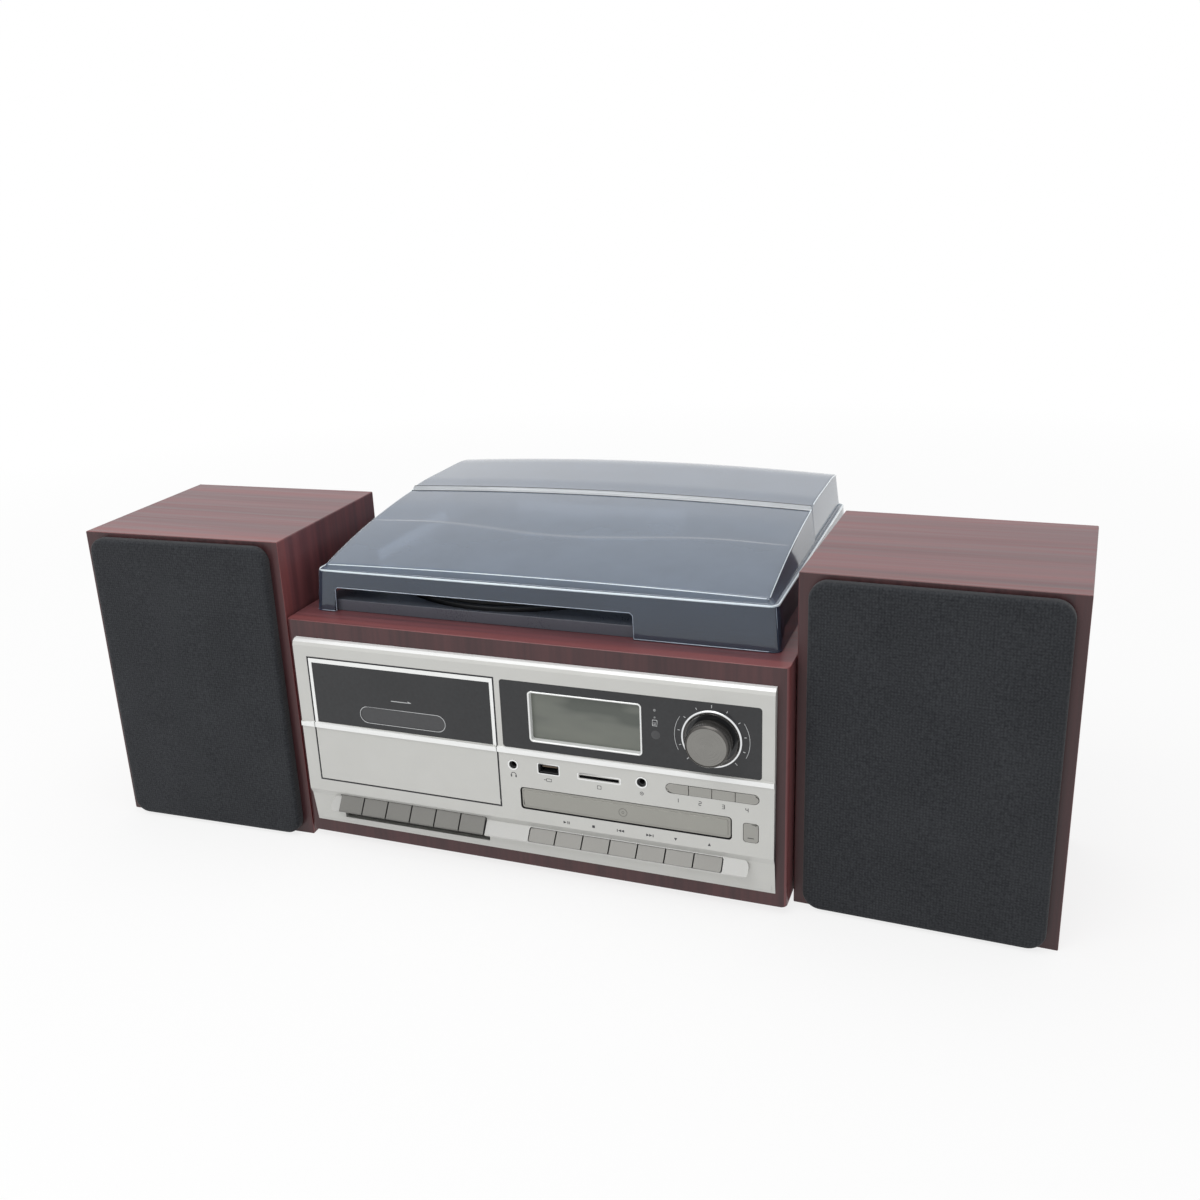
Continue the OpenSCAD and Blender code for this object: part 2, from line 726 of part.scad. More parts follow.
module rear_sockets() {
  color("#26272a") placed() {
    // two phono outputs
    for (x = phono_x) {
      difference() {
        rod_y(x, phono_z, phono_r, back_y - 4, cab_d + rear_proud);
        rod_y(x, phono_z, phono_bore_r, back_y + 2, cab_d + rear_proud + 1);
      }
      rod_y(x, phono_z, phono_r + 0.45, back_y - 4, back_y + back_t + 0.6);
    }
    slab(phono_x[0] - 7, phono_x[1] + 7, back_y - 8, back_y - 3.9, phono_z - 8, phono_z + 8);
    // board that carries them all, standing on the main board
    slab(-rear_hw, rear_hw, back_y - 7.6, back_y - 6 + eps, main_z + main_t, inlet_z1);
    // spring clips for the loudspeaker wires
    difference() {
      face_plate(clip_x0, clip_x1, clip_z0, clip_z1, 1, back_y - 6, back_y + back_t + 2);
      for (i = [0:3])
        face_plate(clip_x0 + clip_in + i * clip_pitch, clip_x0 + clip_in + clip_w + i * clip_pitch,
                   clip_z0 + 3, clip_z1 - 4, 1, back_y + 1, back_y + back_t + 3);
    }
    for (i = [0:3])
      slab(clip_x0 + clip_in + 2 + i * clip_pitch, clip_x0 + clip_in + clip_w - 2 + i * clip_pitch,
           back_y + 1 - eps, back_y + back_t + 1.2, clip_z0 + 9, clip_z1 - 5.5);
    // mains inlet
    difference() {
      face_plate(inlet_x0, inlet_x1, inlet_z0, inlet_z1, 1, back_y - 10, back_y + back_t + 1.6);
      face_plate(inlet_x0 + inlet_wall, inlet_x1 - inlet_wall, inlet_z0 + 5, inlet_z1 - 5, 4.5,
                 back_y - 8, back_y + back_t + 3);
    }
  }
}

// Main board with its transformer, on posts from the cabinet floor
module main_board() {
  top = main_z + main_t - eps;
  color("#2f5230") placed() {
    slab(-main_x, main_x, main_y0, main_y1, main_z, main_z + main_t);
    for (x = [-main_x + post_in, 0, main_x - post_in])
      for (y = [main_y0 + post_in, main_y1 - post_in]) rod_z(x, y, post_r, in_z0, main_z + eps);
    // heat sink and capacitors
    slab(0, sink_w, sink_y, sink_y + sink_t, top, top + sink_h);
    for (i = [0:2]) rod_z(cap_x + i * cap_pitch, cap_y, cap_r, top, top + cap_h);
    // transformer
    slab(trafo_x, trafo_x + trafo_w, trafo_y, trafo_y + trafo_d, top, top + trafo_h);
    slab(trafo_x + trafo_in, trafo_x + trafo_w - trafo_in, trafo_y - trafo_out,
         trafo_y + trafo_d + trafo_out, top + trafo_low, top + trafo_h - trafo_low);
  }
}

// ---------- push buttons ----------

mode_w = (pill_x1 - pill_x0 - 5 * button_gap) / 4;
mode_y0 = fas_y - 0.4;
mode_y1 = mode_y0 + cap_depth;
mode_travel = 0.8;
button_y1 = 1.4;
low_travel = 1.2;
strip_y = 5;

function mode_x(i) = pill_x0 + button_gap + i * (mode_w + button_gap);

// One of four caps that fill the long oval opening
module mode_button(i) {
  color("#a7a59e") placed() intersection() {
    face_plate(pill_x0 + button_gap, pill_x1 - button_gap, mode_z - mode_h / 2 + button_gap,
               mode_z + mode_h / 2 - button_gap, mode_h / 2 - button_gap - eps, mode_y0, mode_y1);
    slab(mode_x(i), mode_x(i) + mode_w, mode_y0 - 1, mode_y1 + 1, mode_z - mode_h,
         mode_z + mode_h);
  }
}

module button_mode() { mode_button(0); }
module button_scan() { mode_button(1); }
module button_clock() { mode_button(2); }
module button_timer() { mode_button(3); }

module eject_button() {
  color("#a7a59e") placed()
    face_plate(eject_x - eject_w / 2 + button_gap, eject_x + eject_w / 2 - button_gap,
               eject_z - eject_h / 2 + button_gap, eject_z + eject_h / 2 - button_gap, 1.7,
               mode_y0, mode_y1);
}

// Lower buttons: sloping faces that follow the key bar
module low_button(i) {
  x0 = buttons_x + i * key_pitch + key_gap / 2;
  x1 = x0 + key_pitch - key_gap;
  z0 = bar_z0 + 2.3;
  z1 = bar_z1 - 0.7;
  color("#a7a59e") placed() intersection() {
    along_x(x0, x1, [[crease_y - 0.4, z1], [bar_y - 0.3, z0], [button_y1, z0], [button_y1, z1]]);
    face_plate(i == 0 ? x0 : x0 - 5, i == 6 ? x1 : x1 + 5, z0 - (i == 0 || i == 6 ? 0 : 5), z1,
               1.2, bar_y - 2, button_y1 + 1);
  }
}

module button_store() { low_button(0); }
module button_play() { low_button(1); }
module button_stop() { low_button(2); }
module button_previous() { low_button(3); }
module button_next() { low_button(4); }
module button_down() { low_button(5); }
module button_up() { low_button(6); }

// Cassette keys: piano keys that turn on one shaft behind the fascia
module piano_key(i) {
  x0 = keys_x + i * key_pitch + key_gap / 2;
  x1 = x0 + key_pitch - key_gap;
  xc = (x0 + x1) / 2;
  z1 = key_top_z;
  z0 = key_top_z - 10.4;
  color("#8f8d87") placed() difference() {
    union() {
      along_x(x0, x1, [[fas_y + 1.6, z1], [bar_y - 1.2, z0 + 0.9], [bar_y - 0.7, z0],
                       [bar_y + 3, z0 - 1.2], [5, z0 - 1.2], [5, z1 - 1.4]]);
      slab(xc - 4, xc + 4, 4, key_axis_y, key_axis_z - 3, key_axis_z + 3);
      rod_x(xc - 4, xc + 4, key_axis_y, key_axis_z, key_shaft_r + 2.5);
    }
    rod_x(xc - 5, xc + 5, key_axis_y, key_axis_z, key_shaft_r + shaft_gap);
  }
}

module key_record() { piano_key(0); }
module key_play() { piano_key(1); }
module key_rewind() { piano_key(2); }
module key_forward() { piano_key(3); }
module key_stop() { piano_key(4); }
module key_pause() { piano_key(5); }

module volume_knob() {
  color("#a09c94") placed()
    translate([knob_x, fas_y - 0.3, knob_z]) rotate([90, 0, 0]) difference() {
      rotate_extrude() polygon([
        [0, 0], [knob_d / 2 - 1, 0], [knob_d / 2 - 1, 1.2], [knob_d / 2, 1.4],
        [knob_d / 2, knob_proud - 1.1], [knob_d / 2 - 0.8, knob_proud - 0.3],
        [0, knob_proud - 0.3]]);
      translate([0, 0, -1]) cylinder(h = knob_proud - 3, r = knob_shaft_d / 2 + shaft_gap);
    }
}

// ---------- cassette deck ----------

module cassette_door() {
  color("#c4c5c0") placed() difference() {
    union() {
      along_x(door_x0, door_x1, [
        [fas_y, door_z0], [fas_y, ridge_z0 - 0.5], [fas_y - ridge_proud, ridge_z0],
        [fas_y - ridge_proud, ridge_z1 - 0.6], [fas_y, ridge_z1], [fas_y, door_z1],
        [skin_y, door_z1], [skin_y, door_z0]]);
      rod_x(door_x0 - 2, door_x1 + 2, hinge_y, hinge_z, hinge_r);
      // cassette holder: shelf and two side guides
      slab(door_x - guide_x, door_x + guide_x, skin_y - eps, skin_y + well_d - 4,
           shelf_z - 2, shelf_z);
      for (s = [-1, 1])
        slab(door_x + s * guide_x - 0.8, door_x + s * guide_x + 0.8, skin_y - eps,
             skin_y + well_d - 4, shelf_z - 2, reel_z + 18);
    }
    slab(door_x0 + door_rim, door_x1 - door_rim, fas_y - 3, skin_y + 0.5, lens_z0, lens_z1);
  }
}

module cassette_window() {
  color("#2c2e31") placed() difference() {
    slab(door_x0 + door_rim, door_x1 - door_rim, fas_y + 0.3, fas_y + 2.2, lens_z0, lens_z1);
    // viewing pane, pressed back a little
    face_plate(door_x - pill_w / 2, door_x + pill_w / 2, reel_z - pill_h / 2,
               reel_z + pill_h / 2, pill_h / 2 - eps, fas_y - 1, fas_y + 0.7);
  }
}

module cassette_chassis() {
  color("#55565a") placed() difference() {
    union() {
      difference() {
        slab(door_x0 - 4, door_x1 + 3, well_y, well_back + well_t, door_z0 - 4, door_z1 + 3.5);
        slab(door_x0 - 2, door_x1 + 1, well_y - 1, well_back, door_z0 - 2, door_z1 + 1.5);
      }
      // legs that stand the mechanism on the cabinet floor and hold the key shaft
      for (x = [door_x0 - 4, door_x1 - 3])
        slab(x, x + 6, well_back, well_back + 22, in_z0, door_z0 + 10);
      rod_x(door_x0 - 1, door_x1, key_axis_y, key_axis_z, key_shaft_r);
      // dark shelf under the keys, tied to the legs
      slab(keys_x - 1, keys_x + 6 * key_pitch + 1, 3.4, 12, fas_z0 + fascia_lap + skin + 0.2,
           key_floor_z + 0.6);
      slab(door_x0 - 1, door_x1, flange_d + 1, 14, in_z0, key_floor_z + 0.6);
    }
    for (s = [-1, 1])
      rod_y(door_x + s * reel_pitch / 2, reel_z, reel_shaft_r + shaft_gap, well_back - 1,
            well_back + 3);
    rod_y(capstan_x, capstan_z, capstan_r + shaft_gap, well_back - 1, well_back + 3);
  }
}

// Reel drive: splined post in front of the plate, turntable behind it
module reel(x) {
  rod_y(x, reel_z, reel_r, well_y + 3.2, well_back - 0.4);
  for (a = [0:60:300])
    translate([x, 0, reel_z]) rotate([0, a, 0])
      slab(-0.6, 0.6, well_y + 4.2, well_back - 0.4, 0, reel_r + 1.2);
  rod_y(x, reel_z, reel_shaft_r, well_back - 0.5, well_back + well_t + 2);
  rod_y(x, reel_z, 9, well_back + well_t + 0.4, well_back + well_t + 3);
}

module supply_reel() { color("#e0ded6") placed() reel(door_x - reel_pitch / 2); }
module takeup_reel() { color("#e0ded6") placed() reel(door_x + reel_pitch / 2); }

module flywheel() {
  color("#b8babd") placed() {
    rod_y(capstan_x, capstan_z, capstan_r, well_y + 3, well_back + well_t + 6);
    rod_y(capstan_x, capstan_z, 15, well_back + well_t + 3.6, well_back + well_t + 9);
  }
}

// ---------- CD player ----------

module cd_loader() {
  color("#3a3b3e") placed() difference() {
    union() {
      difference() {
        slab(load_x0, load_x1, load_y0, tray_y0 + tray_l + 20, load_z0, load_z1);
        slab(load_x0 + load_t, load_x1 - load_t, load_y0 - 1, tray_y0 + tray_l + 18,
             load_z0 + load_t, load_z1 - load_t);
      }
      // runners that carry the tray
      for (s = [0, 1])
        slab(s == 0 ? load_x0 + load_t - eps : tray_x1 - 3,
             s == 0 ? tray_x0 + 3 : load_x1 - load_t + eps, load_y0 + 4, tray_y0 + tray_l - 4,
             load_z0 + load_t - eps, tray_z0 - 0.1);
      rod_z(disc_x, disc_y, 12, load_z0 + load_t - eps, load_z0 + load_t + 3);
      rod_z(disc_x, disc_y, 1, load_z0 + load_t, tray_z0 + 2);
      // posts down to the cabinet floor
      for (x = [load_x0 + 5, load_x1 - 5]) for (y = [load_y0 + 25.5, load_y0 + tray_l - 12.5])
        rod_z(x, y, 4, in_z0, load_z0 + eps);
    }
    slab(disc_x - 30, disc_x + 30, disc_y - 40, disc_y + 40, load_z1 - load_t - 1, load_z1 + 1);
  }
}

module cd_drawer() {
  color("#2a2b2d") placed() difference() {
    slab(tray_x0, tray_x1, tray_y0, tray_y0 + tray_l, tray_z0, tray_z0 + tray_t);
    rod_z(disc_x, disc_y, disc_d / 2, tray_z0 + tray_t - 2.5, tray_z0 + tray_t + 1);
    rod_z(disc_x, disc_y, 21, tray_z0 - 1, tray_z0 + tray_t);
    slab(disc_x - 21, disc_x + 21, disc_y, tray_y0 + tray_l + 1, tray_z0 - 1, tray_z0 + tray_t + 1);
  }
}

module drawer_front() {
  color("#a7a59e") placed() {
    face_plate(slot_x0 + 0.9, slot_x0 + slot_w - 0.9, slot_z0 + 0.8, slot_z0 + slot_h - 0.8, 2,
               fas_y + 0.6, tray_y0);
    face_plate(slot_x0 + 2, slot_x0 + slot_w - 2.6, slot_z0 + 2.4, slot_z0 + slot_h - 2.4, 1.2,
               fas_y + 0.1, fas_y + 1);
  }
}

module cd_hub() {
  color("#17181a") placed() difference() {
    union() {
      rod_z(disc_x, disc_y, 11, load_z0 + load_t + 3 + fit_gap, load_z0 + load_t + 5.3);
      rod_z(disc_x, disc_y, 7.3, load_z0 + load_t + 5.2, tray_z0 + 4.5);
    }
    rod_z(disc_x, disc_y, 1 + shaft_gap, load_z0, tray_z0 + 2.2);
  }
}

// ---------- record deck ----------

module turntable_deck() {
  color("#232427") placed() difference() {
    union() {
      difference() {
        union() {
          // raised block that stands on the cabinet's top
          translate([0, 0, cab_z1]) linear_extrude(deck_h)
            round_rect(deck_x - deck_w / 2, deck_x + deck_w / 2, deck_y0, deck_y1, 4);
          // pan that drops through the cabinet's top
          slab(deck_x - deck_w / 2 + pan_in, deck_x + deck_w / 2 - pan_in, deck_y0 + pan_in,
               deck_y1 - pan_in, cab_z1 - pan_depth, cab_z1 + 1);
        }
        // hollow underside
        slab(deck_x - deck_w / 2 + pan_in + deck_t, deck_x + deck_w / 2 - pan_in - deck_t,
             deck_y0 + pan_in + deck_t, deck_y1 - pan_in - deck_t, cab_z1 - pan_depth - 1,
             platter_z0 - 3.5 - deck_t);
      }
      // tonearm tower and arm rest
      rod_z(pv_x, pivot_y, tower_r, deck_z - eps, deck_z + tower_h);
      slab(pv_x - 5, pv_x + 5, rest_y - 4, rest_y + 4, deck_z - eps, arm_z - arm_d / 2 - 0.1);
      // bearing block of the cue lever
      slab(pv_x + 20, pv_x + 34, pivot_y - 43, pivot_y - 37, deck_z - eps, deck_z + 4.5);
      // post for the motor
      slab(motor_x - motor_r - 3, motor_x + motor_r + 3, motor_y - motor_r - 3,
           motor_y + motor_r + 3, cab_z1 - pan_depth,
           platter_z0 - 3.5 - deck_t + eps);
      rod_z(sp_x, spindle_y, 14, cab_z1 - pan_depth, platter_z0 - 3.5);
    }
    // platter well and spindle bearing hole
    rod_z(sp_x, spindle_y, well_r, platter_z0 - 3.5, deck_z + 1);
    rod_z(sp_x, spindle_y, bearing_r + shaft_gap, cab_z1 - pan_depth + 2, deck_z + 1);
    // motor seat
    rod_z(motor_x, motor_y, motor_r + shaft_gap, cab_z1 - pan_depth - 1, platter_z0 - 3.5 - 2);
    rod_z(motor_x, motor_y, pulley_r + 2, cab_z1 - pan_depth - 1, deck_z + 1);
    // tonearm bearing
    rod_z(pv_x, pivot_y, 4 + shaft_gap, deck_z - 3, deck_z + tower_h + 1);
    // switch slot and cue lever hole
    slab(switch_x - switch_w / 2, switch_x + switch_w / 2, switch_y0, switch_y1, deck_z - 4,
         deck_z + 1);
    rod_x(pv_x + 20.6, pv_x + 33.4, pivot_y - 40, deck_z + 2, 1.2 + shaft_gap);
    slab(pv_x + 23.4, pv_x + 30.6, pivot_y - 44, pivot_y - 36, deck_z - 1, deck_z + 5);
  }
}

module platter_motor() {
  color("#9a9da1") placed() {
    rod_z(motor_x, motor_y, motor_r, cab_z1 - pan_depth - 9, platter_z0 - 3.5 - 2);
    rod_z(motor_x, motor_y, 1, platter_z0 - 3.5 - 2.1, platter_z0 + 3.6);
  }
}

module motor_pulley() {
  color("#c9a24a") placed()
    translate([motor_x, motor_y, platter_z0 - 3]) difference() {
      rotate_extrude() polygon([[0, 0], [pulley_r, 0], [pulley_r, 0.8], [pulley_r - 0.8, 1.2],
        [pulley_r - 0.8, 4.8], [pulley_r, 5.2], [pulley_r, 6], [0, 6]]);
      translate([0, 0, -1]) cylinder(h = 8, r = 1 + shaft_gap);
    }
}

// Platter: a dished disc with an inner driving rim, bearing shaft and record spindle
module platter() {
  color("#3b3d40") placed() {
    translate([sp_x, spindle_y, platter_z0]) rotate_extrude() polygon([
      [0, 0], [bearing_r + 6, 0], [bearing_r + 6, platter_h - 2], [rim_r - 2.4, platter_h - 2],
      [rim_r - 2.4, 0], [rim_r - 0.3, 0], [rim_r - 0.3, platter_h - 2],
      [platter_d / 2 - 3, platter_h - 2], [platter_d / 2 - 3, 1.5], [platter_d / 2 - 0.6, 1.5],
      [platter_d / 2, 2.2], [platter_d / 2, platter_h - 1], [platter_d / 2 - 1, platter_h],
      [0, platter_h]]);
    rod_z(sp_x, spindle_y, bearing_r, cab_z1 - pan_depth + 2.05, platter_z0 + eps);
    translate([sp_x, spindle_y, platter_z0]) rotate_extrude() polygon([
      [0, 1], [spindle_d / 2, 1], [spindle_d / 2, pin_top - platter_z0 - 2],
      [spindle_d / 2 - 1, pin_top - platter_z0 - 0.6], [0, pin_top - platter_z0]]);
  }
}

// Rubber mat
module platter_mat() {
  color("#161718") placed()
    translate([sp_x, spindle_y, mat_z - mat_t]) difference() {
      rotate_extrude() polygon([[mat_hole_r, 0], [platter_d / 2 - 3, 0],
        [platter_d / 2 - 3, mat_t - 0.4], [platter_d / 2 - 3.4, mat_t], [mat_hole_r, mat_t]]);
      for (r = [30:12:90]) rotate_extrude() translate([r, mat_t - 0.6]) square([2, 1]);
    }
}

module arm_gimbal() {
  color("#8d9094") placed() {
    rod_z(pv_x, pivot_y, 4, deck_z - 2.8, deck_z + tower_h + 0.5);
    rod_z(pv_x, pivot_y, tower_r - 1, deck_z + tower_h + 0.3, deck_z + yoke_h);
    for (s = [-1, 1]) difference() {
      slab(pv_x + s * 9.5 - 1.5, pv_x + s * 9.5 + 1.5, pivot_y - 5, pivot_y + 5,
           deck_z + yoke_h - eps, arm_z + 5);
      rod_x(pv_x + s * 9.5 - 3, pv_x + s * 9.5 + 3, pivot_y, arm_z, 1.5 + shaft_gap);
    }
  }
}

// Straight arm with its headshell and counterweight, lying in the rest
module tonearm() {
  color("#b5b8bc") placed() {
    rod_x(pv_x - 10.8, pv_x + 10.8, pivot_y, arm_z, 1.5);
    rod_x(pv_x - 7.5, pv_x + 7.5, pivot_y, arm_z, 5);
    rod_y(pv_x, arm_z, arm_d / 2, pivot_y - arm_len + 24, pivot_y + 20);
    rod_y(pv_x, arm_z, weight_r, pivot_y + 17, pivot_y + 17 + weight_l);
    // headshell and cartridge
    slab(pv_x - 8, pv_x + 8, pivot_y - arm_len - 5, pivot_y - arm_len + 26, arm_z - head_t / 2,
         arm_z + head_t / 2);
    slab(pv_x - 5, pv_x + 5, pivot_y - arm_len - 3, pivot_y - arm_len + 15, needle_z + 2,
         arm_z - head_t / 2 + 0.1);
    rod_z(pv_x, pivot_y - arm_len, 0.6, needle_z, needle_z + 2.1);
    slab(pv_x + 7.9, pv_x + 13, pivot_y - arm_len + 2, pivot_y - arm_len + 5, arm_z - 1, arm_z + 1);
  }
}

module cue_lever() {
  color("#8d9094") placed() {
    rod_x(pv_x + 21, pv_x + 33, pivot_y - 40, deck_z + 2, 1.2);
    slab(pv_x + 24.5, pv_x + 29.5, pivot_y - 41.3, pivot_y - 38.7, deck_z + 0.8, deck_z + 12);
    rod_x(pv_x + 23, pv_x + 31, pivot_y - 40, deck_z + 13, 2);
  }
}

module speed_switch() {
  color("#8d9094") placed() {
    slab(switch_x - switch_w / 2 + 0.4, switch_x + switch_w / 2 - 0.4, switch_y0 + 1,
         switch_y0 + 8, deck_z - 3.5, deck_z + 3);
    slab(switch_x - switch_w / 2 - 1, switch_x + switch_w / 2 + 1, switch_y0 + 0.6,
         switch_y0 + 8.4, deck_z + 0.2, deck_z + 1.2);
  }
}

// ---------- dust cover ----------

// One thin slice of a drafted box, grown or shrunk by g
module cover_slice(hw, y0, y1, z, r, g) {
  translate([0, 0, z]) linear_extrude(0.01)
    round_rect(deck_x - hw + g, deck_x + hw - g, y0 + g, y1 - g, max(r - g, 0.5), $fn = 24);
}

// Height of the arched top, u = 0 at its front edge and 1 at the step
function arch(u) = rim_z + front_rise + arch_rise * (1.67 * u - 0.67 * u * u);
// Sideways crown, growing towards the rear
function crown_at(y, s) = (2 + (crown - 2) * (y - arch_y0) / (arch_y1 - arch_y0)) * (1 - s * s);

// Side profile of the front half and of the rear half, s = -1 to 1 across the cover
function front_profile(s, g) = concat(
  [[arch_y0 + g, rim_z - 2 - g]],
  [for (i = [0:6]) let (u = i / 6, y = arch_y0 + g + u * (step_y - arch_y0 - 2 * g))
    [y, arch(u) - g + crown_at(y, s) - (i == 0 ? 0.6 : 0)]],
  [[step_y - g + 1, rim_z - 2 - g]]);
function rear_profile(s, g) = let (zt = arch(1) + step_h - g, d = arch_y1 - g) concat(
  [[step_y + g, rim_z - 2 - g]],
  [for (p = [[step_y + g, 0], [step_y + 24, 0.9], [d - 30, 1], [d - 12, -0.2], [d - 6, -1.9],
             [d - 2, -5.4]])
    [p[0], zt + p[1] + crown_at(p[0], s)]],
  [[d - 0.5, zt - 11], [d, rim_z - 2 - g]]);

module profile_plate(x, points) {
  translate([x, 0, 0]) rotate([90, 0, 90]) linear_extrude(0.01) polygon(points);
}

// Convex solid through the profiles, drawn in at the top by the walls' draft
module front_dome(g) {
  hull() {
    for (s = [-1, 1]) profile_plate(deck_x + s * (top_hw - g), [
      [arch_y0 + g, rim_z - 2 - g], [arch_y0 + g, arch(0) - 2 - g],
      [step_y, arch(1) - 5 - g], [step_y, rim_z - 2 - g]]);
    for (s = [-1, -0.66, -0.33, 0, 0.33, 0.66, 1])
      profile_plate(deck_x + s * (top_hw - top_draft - g), front_profile(s, g));
  }
}

module rear_dome(g) {
  hull() {
    for (s = [-1, 1]) profile_plate(deck_x + s * (top_hw - g), [
      [step_y, rim_z - 2 - g], [step_y, arch(1) - 5 - g], [arch_y1 - 8 - g, arch(1) - 5 - g],
      [arch_y1 - 3 - g, arch(1) - 11 - g], [arch_y1 - 2 - g, rim_z - 2 - g]]);
    for (s = [-1, -0.66, -0.33, 0, 0.33, 0.66, 1])
      profile_plate(deck_x + s * (top_hw - top_draft - g), rear_profile(s, g));
  }
}

module skirt_block(g, drop) {
  hull() {
    cover_slice(base_hw, cover_y, base_y1, cab_z1 + fit_gap - drop, 5, g);
    cover_slice(rim_hw, rim_y0, rim_y1, rim_z - 0.01 - g, 5, g);
  }
}

module dust_cover() {
  color("#6d7884") placed() difference() {
    union() {
      difference() {
        union() {
          skirt_block(0, 0);
          front_dome(0);
          rear_dome(0);
        }
        skirt_block(cover_t, 1);
        front_dome(cover_t);
        rear_dome(cover_t);
      }
      // hinge lugs at the back
      for (s = [-1, 1]) {
        slab(deck_x + s * lug_x - lug_w / 2, deck_x + s * lug_x + lug_w / 2, base_y1 - 2.2, pin_y,
             pin_z - 2.5, pin_z + lug_r - eps);
        rod_x(deck_x + s * lug_x - lug_w / 2, deck_x + s * lug_x + lug_w / 2, pin_y, pin_z, lug_r);
      }
    }
    for (s = [-1, 1])
      rod_x(deck_x + s * lug_x - lug_w, deck_x + s * lug_x + lug_w, pin_y, pin_z,
            cover_pin_r + shaft_gap);
    // a full-size record reaches out through the front, left and rear of the skirt
    facing(cover_y - 1, cover_y + 8)
      polygon([[cut_x0 - 2, cab_z1 - 2], [cut_x1 + 1, cab_z1 - 2], [cut_x1, cut_z - 1.5],
               [cut_x1 - 1.5, cut_z], [cut_x0 + 1.5, cut_z], [cut_x0, cut_z - 1.5]]);
    slab(deck_x - base_hw - 1, deck_x - base_hw + 8, spindle_y - cut_side, spindle_y + cut_side,
         cab_z1 - 2, cut_z);
    slab(sp_x - cut_rear, sp_x + cut_rear, base_y1 - 8, base_y1 + 1, cab_z1 - 2, cut_z);
  }
}

module cover_hinges() {
  color("#2a2b2d") placed()
    for (s = [-1, 1]) {
      x = deck_x + s * lug_x;
      for (t = [-1, 1]) {
        slab(x + t * (lug_w / 2 + 2.4) - 2, x + t * (lug_w / 2 + 2.4) + 2, pin_y - 4, pin_y + 7,
             cab_z1, pin_z);
        rod_x(x + t * (lug_w / 2 + 2.4) - 2, x + t * (lug_w / 2 + 2.4) + 2, pin_y, pin_z, 4);
      }
      slab(x - lug_w / 2 - 4.4, x + lug_w / 2 + 4.4, pin_y + 5.2, pin_y + 12, cab_z1, cab_z1 + 2.4);
      rod_x(x - lug_w / 2 - 4, x + lug_w / 2 + 4, pin_y, pin_z, cover_pin_r);
    }
}

// ---------- loudspeakers ----------

// side is -1 for the left one and 1 for the right one; X runs out from the cabinet's side
module speaker_place(side) {
  translate([side * spk_x, side < 0 ? spk_left_y : spk_right_y, 0])
    rotate([0, 0, -side * toe_in]) translate([side < 0 ? -spk_w : 0, 0, 0]) children();
}

module speaker_box(side) {
  color("#6e2f33") placed() speaker_place(side) difference() {
    slab(0, spk_w, 0, spk_d, 0, spk_h);
    slab(spk_board, spk_w - spk_board, spk_board, spk_d - spk_board, spk_board, spk_h - spk_board);
    rod_y(spk_w / 2, driver_z, driver_hole_r, -1, spk_board + 1);
    face_plate((spk_w - term_w) / 2 + 4, (spk_w + term_w) / 2 - 4, term_z + 4,
               term_z + term_h - 4, 2, spk_d - spk_board - 1, spk_d + 1);
    grille_pegs(peg_r + shaft_gap, peg_l + 0.5);
  }
}

module grille_pegs(r, l) {
  for (x = [grille_side + 14, spk_w - grille_side - 14])
    for (z = [grille_bottom + 14, spk_h - grille_top - 14]) rod_y(x, z, r, -2, l);
}

module speaker_grille(side) {
  color("#2b2d30") placed() speaker_place(side) {
    difference() {
      union() {
        face_plate(grille_side, spk_w - grille_side, grille_bottom, spk_h - grille_top, grille_r,
                   -grille_t + 1.5, -0.2);
        face_plate(grille_side + 0.9, spk_w - grille_side - 0.9, grille_bottom + 0.9,
                   spk_h - grille_top - 0.9, grille_r - 0.9, -grille_t, -grille_t + 1.6);
      }
      face_plate(grille_side + grille_rim, spk_w - grille_side - grille_rim,
                 grille_bottom + grille_rim, spk_h - grille_top - grille_rim, 6,
                 -grille_t + grille_skin, 1);
    }
    difference() {
      grille_pegs(peg_r, peg_l);
      slab(0, spk_w, -3, -1.9, 0, spk_h);
    }
    for (x = [grille_side + 14, spk_w - grille_side - 14])
      for (z = [grille_bottom + 14, spk_h - grille_top - 14])
        rod_y(x, z, peg_r + 3, -grille_t + grille_skin - eps, -0.2);
  }
}

// Paper cone driver with its pressed frame and magnet
module speaker_driver(side) {
  color("#3a3b3d") placed() speaker_place(side)
    translate([spk_w / 2, 0, driver_z]) rotate([90, 0, 0]) rotate_extrude() polygon([
      [0, 1.5], [dust_cap_r * 0.55, 0.6], [dust_cap_r, -2.5], [dust_cap_r + 4, -cone_depth],
      [driver_hole_r - 12, -1.2], [driver_hole_r - 8, 1.4], [driver_hole_r - 4, 1.2],
      [driver_hole_r - 1, 0.6], [driver_d / 2, 0.6], [driver_d / 2, 0.02],
      [driver_hole_r - 0.6, 0.02], [driver_hole_r - 0.6, -3], [driver_hole_r - 12, -5],
      [magnet_r - 8, -magnet_y], [magnet_r, -magnet_y], [magnet_r, -magnet_y - magnet_t],
      [0, -magnet_y - magnet_t]]);
}

module speaker_terminal(side) {
  color("#26272a") placed() speaker_place(side) {
    difference() {
      union() {
        face_plate((spk_w - term_w) / 2, (spk_w + term_w) / 2, term_z, term_z + term_h, 3,
                   spk_d + 0.02, spk_d + 2);
        face_plate((spk_w - term_w) / 2 + 4.4, (spk_w + term_w) / 2 - 4.4, term_z + 4.4,
                   term_z + term_h - 4.4, 1.6, spk_d - 8, spk_d + 1);
      }
      face_plate((spk_w - term_w) / 2 + 8, (spk_w + term_w) / 2 - 8, term_z + 8,
                 term_z + term_h - 8, 2, spk_d - 6, spk_d + 3);
    }
    for (x = [-9, 9]) slab(spk_w / 2 + x - 4, spk_w / 2 + x + 4, spk_d - 6.02, spk_d + 1,
                           term_z + 17, term_z + 26);
  }
}

